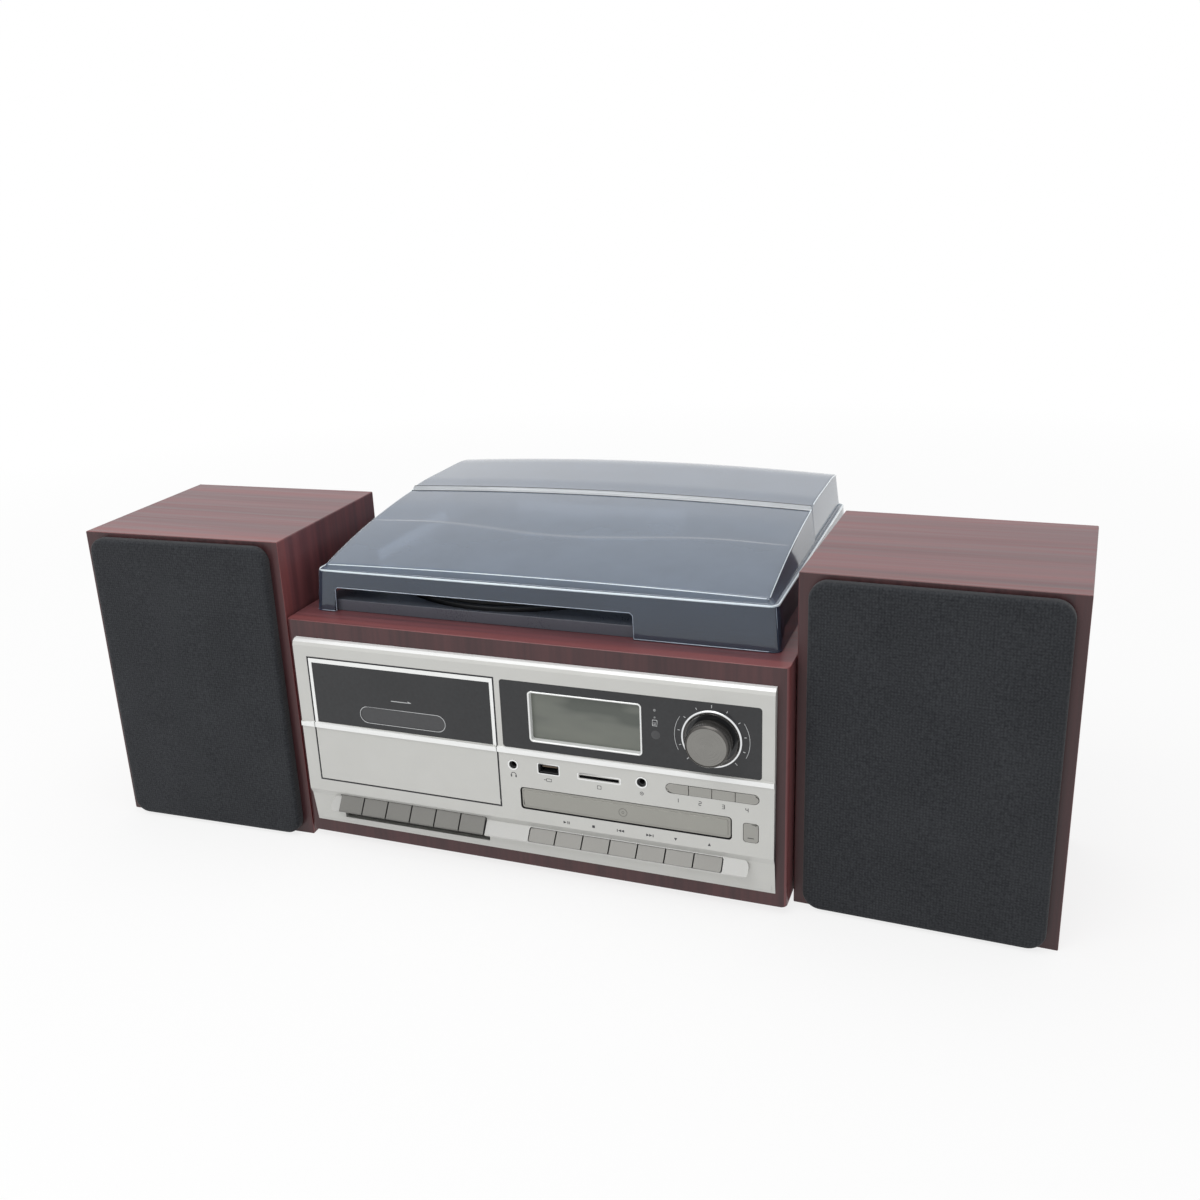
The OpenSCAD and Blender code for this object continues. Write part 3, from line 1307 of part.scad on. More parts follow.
module left_speaker_box() { speaker_box(-1); }
module left_driver() { speaker_driver(-1); }
module left_terminal() { speaker_terminal(-1); }
module left_grille() { speaker_grille(-1); }
module right_speaker_box() { speaker_box(1); }
module right_driver() { speaker_driver(1); }
module right_terminal() { speaker_terminal(1); }
module right_grille() { speaker_grille(1); }

cabinet();
rear_panel();
feet();
front_fascia();
display_window();
lcd_bezel();
lcd_panel();
volume_ring();
control_board();
front_sockets();
rear_sockets();
main_board();
turntable_deck();
platter_motor();
cover_hinges();
cassette_chassis();
cd_loader();
dust_cover();
platter();
platter_mat();
motor_pulley();
arm_gimbal();
tonearm();
cue_lever();
speed_switch();
cassette_door();
cassette_window();
supply_reel();
takeup_reel();
flywheel();
cd_drawer();
drawer_front();
cd_hub();
eject_button();
volume_knob();
key_record();
key_play();
key_rewind();
key_forward();
key_stop();
key_pause();
button_store();
button_play();
button_stop();
button_previous();
button_next();
button_down();
button_up();
button_mode();
button_scan();
button_clock();
button_timer();
left_speaker_box();
left_driver();
left_terminal();
left_grille();
right_speaker_box();
right_driver();
right_terminal();
right_grille();
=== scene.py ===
"""Looks of the stereo music centre: pieces, finishes, light and camera.

Sizes are in millimetres, measured as in the part's source: X from the middle of the cabinet,
Y back from its wooden front edge, Z up from the table.
"""

import json
import math

import bmesh
import bpy
from mathutils import Matrix, Vector

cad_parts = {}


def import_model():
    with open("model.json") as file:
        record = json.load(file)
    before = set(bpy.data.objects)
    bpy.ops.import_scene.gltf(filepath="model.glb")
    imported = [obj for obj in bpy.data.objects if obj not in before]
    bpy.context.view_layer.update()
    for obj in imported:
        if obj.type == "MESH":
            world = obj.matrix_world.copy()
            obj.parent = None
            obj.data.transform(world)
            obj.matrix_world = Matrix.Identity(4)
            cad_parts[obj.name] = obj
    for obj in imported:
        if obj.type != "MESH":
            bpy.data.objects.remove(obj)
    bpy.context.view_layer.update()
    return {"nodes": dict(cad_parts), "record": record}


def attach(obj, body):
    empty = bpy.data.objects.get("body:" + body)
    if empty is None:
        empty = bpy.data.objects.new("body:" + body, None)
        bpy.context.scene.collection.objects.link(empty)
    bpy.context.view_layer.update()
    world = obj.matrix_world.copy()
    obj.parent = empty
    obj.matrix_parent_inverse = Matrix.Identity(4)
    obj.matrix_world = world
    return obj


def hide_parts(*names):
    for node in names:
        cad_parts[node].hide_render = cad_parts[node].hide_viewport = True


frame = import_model()

Y_MID = 143.75  # middle of the set, front to back


def at(x, y, z):
    """A point in the frame, in metres."""
    return Vector((x / 1000, (y - Y_MID) / 1000, z / 1000))


def in_scene(name, data):
    """A new object in the scene."""
    made = bpy.data.objects.new(name, data)
    bpy.context.scene.collection.objects.link(made)
    return made


# ---------- finishes ----------

MOST_LOW, MOST_HIGH = 0.3, 0.7  # most values of a noise lie between these
RELIEF = 0.0002  # metres of relief in a Bump node
COAT_ROUGH = 0.08
ACRYLIC_IOR = 1.49


def shader(name):
    """A material with one Principled shader. Returns it, its node tree and the shader."""
    material = bpy.data.materials.new(name)
    material.use_nodes = True
    tree = material.node_tree
    tree.nodes.clear()
    out = tree.nodes.new("ShaderNodeOutputMaterial")
    skin = tree.nodes.new("ShaderNodeBsdfPrincipled")
    tree.links.new(skin.outputs[0], out.inputs[0])
    return material, tree, skin


def feed(tree, node, inputs):
    """Sets a node's inputs, each to a value or from another node's socket."""
    for key, value in inputs.items():
        if isinstance(value, bpy.types.NodeSocket):
            tree.links.new(value, node.inputs[key])
        else:
            node.inputs[key].default_value = value


def add(tree, kind, inputs=(), **settings):
    """One node, with its settings and its inputs."""
    node = tree.nodes.new("ShaderNode" + kind)
    for key, value in settings.items():
        setattr(node, key, value)
    feed(tree, node, dict(inputs))
    return node


def maths(tree, operation, *values):
    """The result of one Math node."""
    return add(tree, "Math", dict(enumerate(values)), operation=operation).outputs[0]


def ramp(tree, fac, stops):
    """Colour ramp through (position, (r, g, b)) stops."""
    node = add(tree, "ValToRGB", {"Fac": fac})
    marks = node.color_ramp.elements
    while len(marks) < len(stops):
        marks.new(0.5)
    for mark, (place, colour) in zip(marks, stops):
        mark.position = place
        mark.color = (*colour, 1)
    return node.outputs["Color"]


def spread(tree, fac, low, high):
    """A number between low and high, following a texture."""
    node = add(tree, "MapRange", {"Value": fac, 1: MOST_LOW, 2: MOST_HIGH, 3: low, 4: high})
    return node.outputs[0]


def noise(tree, scale, stretch=(1, 1, 1), detail=3.0, vector=None):
    """Noise over the piece's own coordinates, with features of about 1/scale metres."""
    place = vector or add(tree, "TexCoord").outputs["Object"]
    mapped = add(tree, "Mapping", {"Vector": place, "Scale": stretch})
    node = add(tree, "TexNoise", {"Vector": mapped.outputs[0], "Scale": scale, "Detail": detail})
    return node.outputs["Fac"]


def shade(colour, factor):
    return tuple(min(1.0, c * factor) for c in colour)


def bumped(tree, height, strength, depth=RELIEF):
    """A surface normal with a texture's relief in it."""
    return add(tree, "Bump", {"Strength": strength, "Distance": depth, "Height": height}).outputs[0]


def moulded(name, colour, rough, metal, grain, vary, rough_vary=0.06, bump=0.03):
    """Plastic, paint or metal with a fine texture in colour, gloss and relief."""
    material, tree, skin = shader(name)
    fine = noise(tree, grain)
    broad = noise(tree, grain / 25, detail=2.0)
    both = maths(tree, "ADD", fine, broad)
    half = maths(tree, "MULTIPLY", both, 0.5)
    dark, light = shade(colour, 1 - vary), shade(colour, 1 + vary)
    low, high = max(rough - rough_vary, 0.02), min(rough + rough_vary, 1)
    feed(tree, skin, {"Base Color": ramp(tree, half, [(MOST_LOW, dark), (MOST_HIGH, light)]),
                      "Roughness": spread(tree, half, low, high),
                      "Normal": bumped(tree, fine, bump), "Metallic": metal})
    return material


HIGHLIGHT_BAND, HIGHLIGHT_FADE = 9, 0.8  # painted highlight: a redder band along the wooden boxes' front edges
ALONG, ACROSS = 7, 300  # scale of the wood's pattern along and across the grain


def wood(name, turn, front):
    """Mahogany vinyl: fine grain along X on top faces and upright on the others.

    turn and front place the box's front plane. Along its edge runs a redder band, a painted
    highlight, and faces that look forward get a darker painted shade.
    """
    material, tree, skin = shader(name)
    place = add(tree, "TexCoord").outputs["Object"]
    normal = add(tree, "NewGeometry").outputs["Normal"]
    up = add(tree, "SeparateXYZ", {0: normal}).outputs[2]
    flat = maths(tree, "ABSOLUTE", up)
    flat = maths(tree, "GREATER_THAN", flat, 0.6)
    along_x = add(tree, "Mapping", {"Vector": place, "Scale": (ALONG, ACROSS, ACROSS)}).outputs[0]
    along_z = add(tree, "Mapping", {"Vector": place, "Scale": (ACROSS, ACROSS, ALONG)}).outputs[0]
    mix = add(tree, "Mix", {0: flat, 4: along_z, 5: along_x}, data_type="VECTOR").outputs[1]
    fine = noise(tree, 1.0, detail=6.0, vector=mix)
    streak = noise(tree, 0.16, detail=3.0, vector=mix)
    blend = maths(tree, "MULTIPLY", fine, 0.45)
    blend = maths(tree, "MULTIPLY_ADD", streak, 0.55, blend)
    grain = ramp(tree, blend, [(0.30, (0.080, 0.033, 0.038)), (0.46, (0.128, 0.046, 0.051)),
                               (0.56, (0.168, 0.056, 0.061)), (0.72, (0.215, 0.077, 0.080))])
    a = math.radians(turn)
    facing = (-math.sin(a), math.cos(a), 0)
    depth = add(tree, "VectorMath", {0: place, 1: facing}, operation="DOT_PRODUCT").outputs["Value"]
    # painted highlight: the wood turns redder within a band behind the front plane
    edge = add(tree, "MapRange", {"Value": depth, 1: front + HIGHLIGHT_BAND / 1000, 3: 1.0, 4: 0.0,
                                  2: front + (HIGHLIGHT_BAND + HIGHLIGHT_FADE) / 1000}).outputs[0]
    highlight_red = ramp(tree, blend, [(0.30, (0.110, 0.037, 0.039)), (0.60, (0.215, 0.066, 0.067))])
    colour = add(tree, "Mix", {0: edge, 6: grain, 7: highlight_red}, data_type="RGBA").outputs[2]
    # painted shade: faces that look forward are darkened
    ahead = add(tree, "VectorMath", {0: normal, 1: facing}, operation="DOT_PRODUCT").outputs["Value"]
    ahead = maths(tree, "LESS_THAN", ahead, -0.8)
    shade_brown = ramp(tree, blend, [(0.30, (0.034, 0.015, 0.017)), (0.60, (0.076, 0.028, 0.030))])
    colour = add(tree, "Mix", {0: ahead, 6: colour, 7: shade_brown}, data_type="RGBA").outputs[2]
    feed(tree, skin, {"Base Color": colour, "Roughness": spread(tree, fine, 0.30, 0.44),
                      "Normal": bumped(tree, fine, 0.10)})
    return material


THREAD = 0.9  # millimetres between the threads of the grille cloth


def cloth(name, dark, light):
    """Woven grille cloth: crossing threads, with flecks and a faint cloudiness."""
    material, tree, skin = shader(name)
    place = add(tree, "TexCoord").outputs["Object"]
    waves = []
    for way in ("X", "Z"):
        wave = add(tree, "TexWave", {"Vector": place, "Scale": 1000 / THREAD / 3.14 / 2,
                                     "Distortion": 0.6, "Detail": 1.0}, bands_direction=way)
        waves.append(wave.outputs["Fac"])
    weave = maths(tree, "MULTIPLY", waves[0], waves[1])
    fleck = noise(tree, 700.0, detail=4.0)
    cloudy = noise(tree, 25.0, detail=2.0)
    mixed = maths(tree, "MULTIPLY_ADD", weave, 0.22, fleck)
    mixed = maths(tree, "MULTIPLY_ADD", cloudy, 0.3, mixed)
    feed(tree, skin, {"Base Color": ramp(tree, mixed, [(0.35, dark), (1.0, light)]),
                      "Normal": bumped(tree, mixed, 0.35, 0.0003), "Roughness": 0.95,
                      "Specular IOR Level": 0.2, "Sheen Weight": 0.12, "Sheen Roughness": 0.5})
    return material


def clear(name, colour, through, rough, coat=1.0):
    """Tinted clear plastic with faint clouding."""
    material, tree, skin = shader(name)
    cloud = noise(tree, 30.0)
    dark, light = shade(colour, 0.95), shade(colour, 1.05)
    feed(tree, skin, {"Base Color": ramp(tree, cloud, [(0.35, dark), (0.65, light)]),
                      "Roughness": spread(tree, cloud, rough * 0.8, rough * 1.3),
                      "Transmission Weight": through, "IOR": ACRYLIC_IOR, "Coat Weight": coat,
                      "Coat Roughness": COAT_ROUGH})
    return material


def lcd_finish():
    """Grey-green liquid crystal with a soft dark painted reflection across its right half."""
    material, tree, skin = shader("display_glass")
    place = add(tree, "TexCoord").outputs["Object"]
    reflection_stretch = add(tree, "Mapping", {"Vector": place, "Scale": (9, 1, 30),
                                  "Rotation": (0, -0.35, 0)}).outputs[0]
    reflection_wisp = noise(tree, 1.6, detail=2.0, vector=reflection_stretch)
    tone = ramp(tree, reflection_wisp, [(0.40, (0.175, 0.185, 0.160)), (0.52, (0.155, 0.166, 0.145)),
                             (0.62, (0.095, 0.105, 0.092))])
    feed(tree, skin, {"Base Color": tone, "Roughness": spread(tree, reflection_wisp, 0.16, 0.22)})
    return material


FINISH = {
    "silver": moulded("silver_paint", (0.60, 0.60, 0.575), 0.36, 0.25, 1400, 0.03),
    # bright trim, also used as a painted highlight on the fascia's ridge, top bevel and door frame
    "trim_and_highlight": moulded("bright_silver_and_highlight", (0.92, 0.93, 0.92), 0.22, 0.15, 1400, 0.02),
    "black_gloss": moulded("black_gloss", (0.020, 0.021, 0.023), 0.10, 0, 500, 0.2, 0.02, 0.01),
    "pane": moulded("reel_pane", (0.055, 0.056, 0.059), 0.14, 0, 500, 0.1, 0.02, 0.01),
    "key": moulded("warm_grey_key", (0.175, 0.172, 0.160), 0.38, 0.30, 1200, 0.05),
    "button": moulded("warm_grey_button", (0.215, 0.211, 0.197), 0.38, 0.30, 1200, 0.05),
    "cap": moulded("small_grey_cap", (0.35, 0.345, 0.32), 0.36, 0.30, 1200, 0.04),
    # a darker copy of the silver paint: painted shade on the bar's sloping face
    "bar": moulded("bar_silver", (0.46, 0.46, 0.445), 0.36, 0.25, 1400, 0.03),
    "deck": moulded("deck_satin", (0.088, 0.095, 0.116), 0.30, 0, 900, 0.08, 0.05, 0.05),
    "platter": moulded("platter_paint", (0.030, 0.031, 0.034), 0.35, 0.2, 900, 0.10),
    "drawer": moulded("drawer_grey", (0.34, 0.335, 0.305), 0.36, 0.30, 1200, 0.04),
    "slot_grey": moulded("dark_grey", (0.17, 0.168, 0.155), 0.5, 0, 900, 0.06),
    # black plastic, also painted as shade into gaps, slots and openings
    "black": moulded("black_plastic", (0.022, 0.022, 0.024), 0.42, 0, 900, 0.15, bump=0.08),
    "grey": moulded("grey_plastic", (0.25, 0.255, 0.26), 0.42, 0, 900, 0.06),
    "ivory": moulded("ivory_plastic", (0.62, 0.60, 0.53), 0.4, 0, 900, 0.04),
    "chrome": moulded("chrome", (0.80, 0.81, 0.82), 0.10, 1.0, 700, 0.02, 0.03, 0.01),
    "steel": moulded("steel", (0.52, 0.53, 0.55), 0.30, 1.0, 900, 0.05),
    "brass": moulded("brass", (0.66, 0.47, 0.20), 0.28, 1.0, 900, 0.05),
    "contact": moulded("socket_tongue", (0.16, 0.115, 0.075), 0.4, 0.2, 900, 0.08),
    "board": moulded("circuit_board", (0.035, 0.12, 0.05), 0.42, 0, 700, 0.15),
    "hardboard": moulded("hardboard", (0.19, 0.13, 0.085), 0.72, 0, 600, 0.2, bump=0.2),
    "rubber": moulded("rubber", (0.017, 0.017, 0.018), 0.72, 0, 900, 0.12, bump=0.15),
    "paper": moulded("cone_paper", (0.035, 0.035, 0.037), 0.8, 0, 500, 0.25, bump=0.3),
    # dark print, also a painted shadow line round the cassette door
    "dark_print_and_shade": moulded("dark_print_and_shade", (0.045, 0.045, 0.05), 0.55, 0, 900, 0.05),
    "light_print": moulded("light_print", (0.55, 0.56, 0.57), 0.5, 0, 900, 0.05),
    "lcd": lcd_finish(),
    "wood": wood("wood_centre", 0.0, -Y_MID / 1000),
    "cloth": cloth("grille_cloth", (0.012, 0.013, 0.016), (0.042, 0.045, 0.050)),
    # painted light on the dust cover: a pale highlight strip, pale highlights along its edges and a
    # darker shaded skirt
    "acrylic_highlight": clear("smoked_clear_highlight", (0.55, 0.58, 0.61), 0.20, 0.15, coat=0.5),
    "edge_shine": clear("edge_highlight", (0.80, 0.91, 1.0), 0.10, 0.08),
    "edge_shine_soft": clear("edge_highlight_soft", (0.50, 0.60, 0.72), 0.25, 0.10),
    "acrylic": clear("smoked_clear", (0.225, 0.285, 0.375), 0.50, 0.07, coat=0.32),
    "acrylic_skirt_shade": clear("smoked_clear_skirt_shade", (0.076, 0.112, 0.172), 0.62, 0.06, coat=0.5),
}

# ---------- building pieces ----------


def place_piece(name, mesh, body, finish, instead=(), angle=35):
    """Puts a mesh in the scene with its finish and body, and hides the CAD nodes it stands for."""
    piece = in_scene(name, mesh)
    mesh.materials.clear()
    mesh.materials.append(FINISH[finish] if isinstance(finish, str) else finish)
    mesh.shade_smooth()
    mesh.set_sharp_from_angle(angle=math.radians(angle))
    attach(piece, body)
    if instead:
        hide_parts(*instead)
    return piece


def from_bmesh(bm, name):
    """A mesh from the bmesh, with every face looking out."""
    mesh = bpy.data.meshes.new(name)
    bmesh.ops.recalc_face_normals(bm, faces=bm.faces)
    bm.to_mesh(mesh)
    bm.free()
    return mesh


def node_body(node):
    bodies = frame["record"]["behaviour"]["bodies"]
    return next(body for body, members in bodies.items() if node in members)


BEVEL_ANGLE = 40  # degrees: edges sharper than this are softened
FLAT_ANGLE = 0.4  # degrees: faces nearer than this to one plane are joined


def refine(node, finish, bevel, steps=2, smooth=35, merge=False, paint=()):
    """A CAD node's shape with its edges softened by bevel mm and a finish of its own.

    paint lists (finish, test) pairs: faces whose centre and normal pass the test get it.
    """
    mesh = frame["nodes"][node].data.copy()
    # the node's stored normals would shade the softened edges wrongly
    for layer in [a for a in mesh.attributes if a.name == "custom_normal"]:
        mesh.attributes.remove(layer)
    bm = bmesh.new()
    bm.from_mesh(mesh)
    bmesh.ops.remove_doubles(bm, verts=bm.verts, dist=1e-5)
    if merge:
        bmesh.ops.dissolve_limit(bm, angle_limit=math.radians(FLAT_ANGLE), verts=bm.verts,
                                 edges=bm.edges)
    bm.faces.ensure_lookup_table()
    kinds = []
    for face in bm.faces:
        c = face.calc_center_median()
        centre = (c.x * 1000, c.y * 1000 + Y_MID, c.z * 1000)
        kinds.append(next((i + 1 for i, (_, test) in enumerate(paint)
                           if test(centre, face.normal)), 0))
    bm.to_mesh(mesh)
    bm.free()
    piece = place_piece(node + "_finished", mesh, node_body(node), finish,
                        (node,), smooth)
    for other, _ in paint:
        mesh.materials.append(FINISH[other])
    mesh.polygons.foreach_set("material_index", kinds)
    if bevel:
        edge = piece.modifiers.new("edge", "BEVEL")
        edge.width = bevel / 1000
        edge.segments = steps
        edge.limit_method = "ANGLE"
        edge.angle_limit = math.radians(BEVEL_ANGLE)
        edge.use_clamp_overlap = False
        edge.harden_normals = True
        mesh.shade_smooth()
    return piece


def rounded(x0, x1, z0, z1, r, steps):
    """Outline of a rounded rectangle as (x, z) points."""
    points = []
    for cx, cz, start in ((x1 - r, z1 - r, 0), (x0 + r, z1 - r, 90), (x0 + r, z0 + r, 180),
                          (x1 - r, z0 + r, 270)):
        for i in range(steps + 1):
            a = math.radians(start + 90 * i / steps)
            points.append((cx + r * math.cos(a), cz + r * math.sin(a)))
    return points


def circle(x, z, r, count):
    turns = (2 * math.pi * i / count for i in range(count))
    return [(x + r * math.cos(a), z + r * math.sin(a)) for a in turns]


def stroke(x0, z0, x1, z1, width):
    """Outline of a thin straight mark."""
    dx, dz = x1 - x0, z1 - z0
    k = width / 2 / math.hypot(dx, dz)
    nx, nz = -dz * k, dx * k
    return [(x0 + nx, z0 + nz), (x1 + nx, z1 + nz), (x1 - nx, z1 - nz), (x0 - nx, z0 - nz)]


def arc_mark(x, z, r, a0, a1, width):
    """Outline of a curved mark, from angle a0 to a1 in degrees."""
    turns = [math.radians(a0 + (a1 - a0) * i / 24) for i in range(25)]
    outer = [(x + (r + width / 2) * math.cos(a), z + (r + width / 2) * math.sin(a)) for a in turns]
    inner = [(x + (r - width / 2) * math.cos(a), z + (r - width / 2) * math.sin(a)) for a in turns]
    return outer + inner[::-1]


def loop_strip(outline, width):
    """A closed line of the given width inside an outline, as short quads."""
    count = len(outline)
    cx = sum(p[0] for p in outline) / count
    cz = sum(p[1] for p in outline) / count
    xs = [abs(p[0] - cx) for p in outline]
    zs = [abs(p[1] - cz) for p in outline]
    kx, kz = 1 - width / max(xs), 1 - width / max(zs)
    inner = [(cx + (p[0] - cx) * kx, cz + (p[1] - cz) * kz) for p in outline]
    return [[outline[i], outline[(i + 1) % count], inner[(i + 1) % count], inner[i]]
            for i in range(count)]


def band(bm, one, two):
    """Faces between two closed rings of corners."""
    for i in range(len(one)):
        j = (i + 1) % len(one)
        bm.faces.new((one[i], two[i], two[j], one[j]))


def prism(bm, outline, y0, y1):
    """A closed block with an outline of (x, z) points, from y0 back to y1."""
    front, back = [], []
    for x, z in outline:
        front.append(bm.verts.new(at(x, y0, z)))
        back.append(bm.verts.new(at(x, y1, z)))
    bm.faces.new(front)
    bm.faces.new(back[::-1])
    band(bm, front, back)


SUNK = 0.05  # how far a mark reaches into its face


def flat_marks(name, shapes, y, body, finish, thick=0.06):
    """Thin raised marks on a face that looks forward, at y."""
    bm = bmesh.new()
    for outline in shapes:
        prism(bm, outline, y - thick, y + SUNK)
    bmesh.ops.remove_doubles(bm, verts=bm.verts, dist=1e-7)
    return place_piece(name, from_bmesh(bm, name), body, finish)


def lathe(name, profile, place, body, finish, instead=(), count=96, angle=35,
          ripple=None):
    """Turns a profile of (radius, along) points. place maps (u, v, along) to the frame.

    ripple(k, i) is added to the radius of point k at turn i.
    """
    bm = bmesh.new()
    rings = []
    for k, (radius, along) in enumerate(profile):
        if radius < 1e-6:
            rings.append([bm.verts.new(place(0, 0, along))])
            continue
        ring = []
        for i in range(count):
            a = 2 * math.pi * i / count
            r = radius + (ripple(k, i) if ripple else 0)
            ring.append(bm.verts.new(place(r * math.cos(a), r * math.sin(a), along)))
        rings.append(ring)
    hollow = len(rings[0]) > 1 and len(rings[-1]) > 1
    for one, two in zip(rings, rings[1:] + (rings[:1] if hollow else [])):
        for i in range(count):
            j = (i + 1) % count
            if len(one) == 1:
                bm.faces.new((one[0], two[i], two[j]))
            elif len(two) == 1:
                bm.faces.new((one[j], one[i], two[0]))
            else:
                bm.faces.new((one[i], two[i], two[j], one[j]))
    return place_piece(name, from_bmesh(bm, name), body, finish, instead, angle)


def lofted(name, rings, body, finish, instead=(), angle=35):
    """Closed skin through rings of points in the frame, capped at both ends."""
    bm = bmesh.new()
    made = [[bm.verts.new(p) for p in ring] for ring in rings]
    for one, two in zip(made, made[1:]):
        band(bm, one, two)
    bm.faces.new(made[0][::-1])
    bm.faces.new(made[-1])
    return place_piece(name, from_bmesh(bm, name), body, finish, instead, angle)


def turned_front(x, z):
    """Frame placing for lathes whose axis runs forward from a point on the front."""
    return lambda u, v, along: at(x + u, along, z + v)


def turned_up(x, y):
    """Frame placing for lathes whose axis stands upright."""
    return lambda u, v, along: at(x + u, y + v, along)


def swept_frame(name, box, r, profile, body, finish, instead):
    """A closed section of (inset, y) points carried round a rounded rectangle."""
    x0, x1, z0, z1 = box
    bm = bmesh.new()
    rings = []
    for inset, y in profile:
        corner = max(r - inset, 0.3)
        outline = rounded(x0 + inset, x1 - inset, z0 + inset, z1 - inset, corner, 8)
        rings.append([bm.verts.new(at(x, y, z)) for x, z in outline])
    for one, two in zip(rings, rings[1:] + rings[:1]):
        band(bm, one, two)
    return place_piece(name, from_bmesh(bm, name), body, finish, instead)


# ---------- cabinet, feet and back ----------

CRISP = 18  # degrees: the limit of smooth shading on parts whose edges stay sharp

refine("cabinet", "wood", 0.7, 3, merge=True)
refine("rear_panel", "hardboard", 0, smooth=CRISP)
refine("feet", "rubber", 0.6)
refine("rear_sockets", "black", 0.2)
refine("cover_hinges", "black", 0.3)

# ---------- fascia ----------

DOOR = (-154.5, -17.1, 52.4, 143.2)  # x and z of the cassette door's edges


def ridge_highlight(c, n):
    """The ridge across the front, painted bright as a highlight."""
    return c[1] < -6.3 and 91.5 < c[2] < 96.2


def top_bevel_highlight(c, n):
    """The slope along the fascia's top edge, painted bright as a highlight."""
    return n.z > 0.5 and n.y < 0 and c[2] > 151.5 and c[1] < -0.2


def on_bar(c, n):
    """The sloping face of the bar that the lower buttons sit in, painted a darker silver as shade.
    """
    return n.z > 0.3 and n.y < 0 and 26 < c[2] < 38.6 and c[1] < -2.5


def door_gap_shade(c, n):
    """The walls of the gap round the cassette door, painted black as shade."""
    near_x = min(abs(c[0] - DOOR[0]), abs(c[0] - DOOR[1])) < 1.2 and abs(n.x) > 0.9
    near_z = min(abs(c[2] - DOOR[2]), abs(c[2] - DOOR[3])) < 1.2 and abs(n.z) > 0.9
    inside = DOOR[0] - 1 < c[0] < DOOR[1] + 1 and DOOR[2] - 1 < c[2] < DOOR[3] + 1
    return inside and (near_x or near_z) and c[1] > -5.45


def slot_wall_shade(c, n):
    """The walls of the drawer slot, the sockets and the small buttons' openings: painted shade."""
    return c[1] > -5.3 and abs(n.y) < 0.2 and c[0] > -13 and 50 < c[2] < 90


def low_opening_shade(c, n):
    """The walls of the opening that the lower buttons sit in, painted black as shade."""
    return 29.5 < c[2] < 38 and 1.5 < c[0] < 134.5 and abs(n.y) < 0.2


def side_shade(c, n):
    """The sides of a key or button, painted black as shade in the gap to its neighbour."""
    return abs(n.x) > 0.9


def door_frame_highlight(c, n):
    """The frame round the dark cassette window, painted bright as a highlight."""
    return n.y < -0.9 and c[2] > 96


def on_pane(c, n):
    """The pane that the reels show through."""
    return -5.1 < c[1] < -4.6 and n.y < -0.9


# painted light on the fascia: bright trim as highlight on ridge and top bevel, darker silver as
# shade on the bar, black as shade in gaps and openings
refine("front_fascia", "silver", 0, smooth=CRISP,
       paint=(("trim_and_highlight", ridge_highlight), ("trim_and_highlight", top_bevel_highlight), ("bar", on_bar), ("black", door_gap_shade),
              ("black", slot_wall_shade), ("black", low_opening_shade)))
refine("display_window", "black_gloss", 0, smooth=CRISP)
# painted light on the door: bright trim as highlight on the ridge and frame, black as shade in its
# gap
refine("cassette_door", "silver", 0, smooth=CRISP,
       paint=(("trim_and_highlight", ridge_highlight), ("trim_and_highlight", door_frame_highlight), ("black", door_gap_shade)))
refine("cassette_window", "black_gloss", 0, smooth=CRISP, paint=(("pane", on_pane),))
refine("lcd_panel", "lcd", 0)
refine("drawer_front", "drawer", 0.2)
refine("eject_button", "cap", 0.3)
refine("front_sockets", "black", 0.1)
refine("control_board", "board", 0)
refine("main_board", "board", 0)
refine("cassette_chassis", "slot_grey", 0, smooth=CRISP)
refine("cd_loader", "black", 0.2)
refine("cd_drawer", "black", 0.3)
refine("cd_hub", "black", 0.2)
for reel in ("supply_reel", "takeup_reel"):
    refine(reel, "ivory", 0.15)
refine("flywheel", "steel", 0.2)
# black on the sides of keys and buttons is painted shade in the gaps between them
for word in ("record", "play", "rewind", "forward", "stop", "pause"):
    refine("key_" + word, "key", 0.45, 3, paint=(("black", side_shade),))
for word in ("store", "play", "stop", "previous", "next", "down", "up"):
    refine("button_" + word, "button", 0.25, paint=(("black", side_shade),))
for word in ("mode", "scan", "clock", "timer"):
    refine("button_" + word, "cap", 0.3)

FACE_Y = -5.5  # the fascia's face
WIN_Y = -5.3  # the display window's face
KNOB_X, KNOB_Z = 127.1, 119.6

swept_frame("display_bezel", (7, 82.8, 102, 137.3), 2.6,
            [(0, -5.3), (0, -5.7), (0.25, -5.9), (0.75, -5.9), (1.1, -5.5), (1.1, -1.92),
             (0.4, -1.92), (0.4, -5.3)], "centre_unit", "trim_and_highlight",
            ("lcd_bezel",))


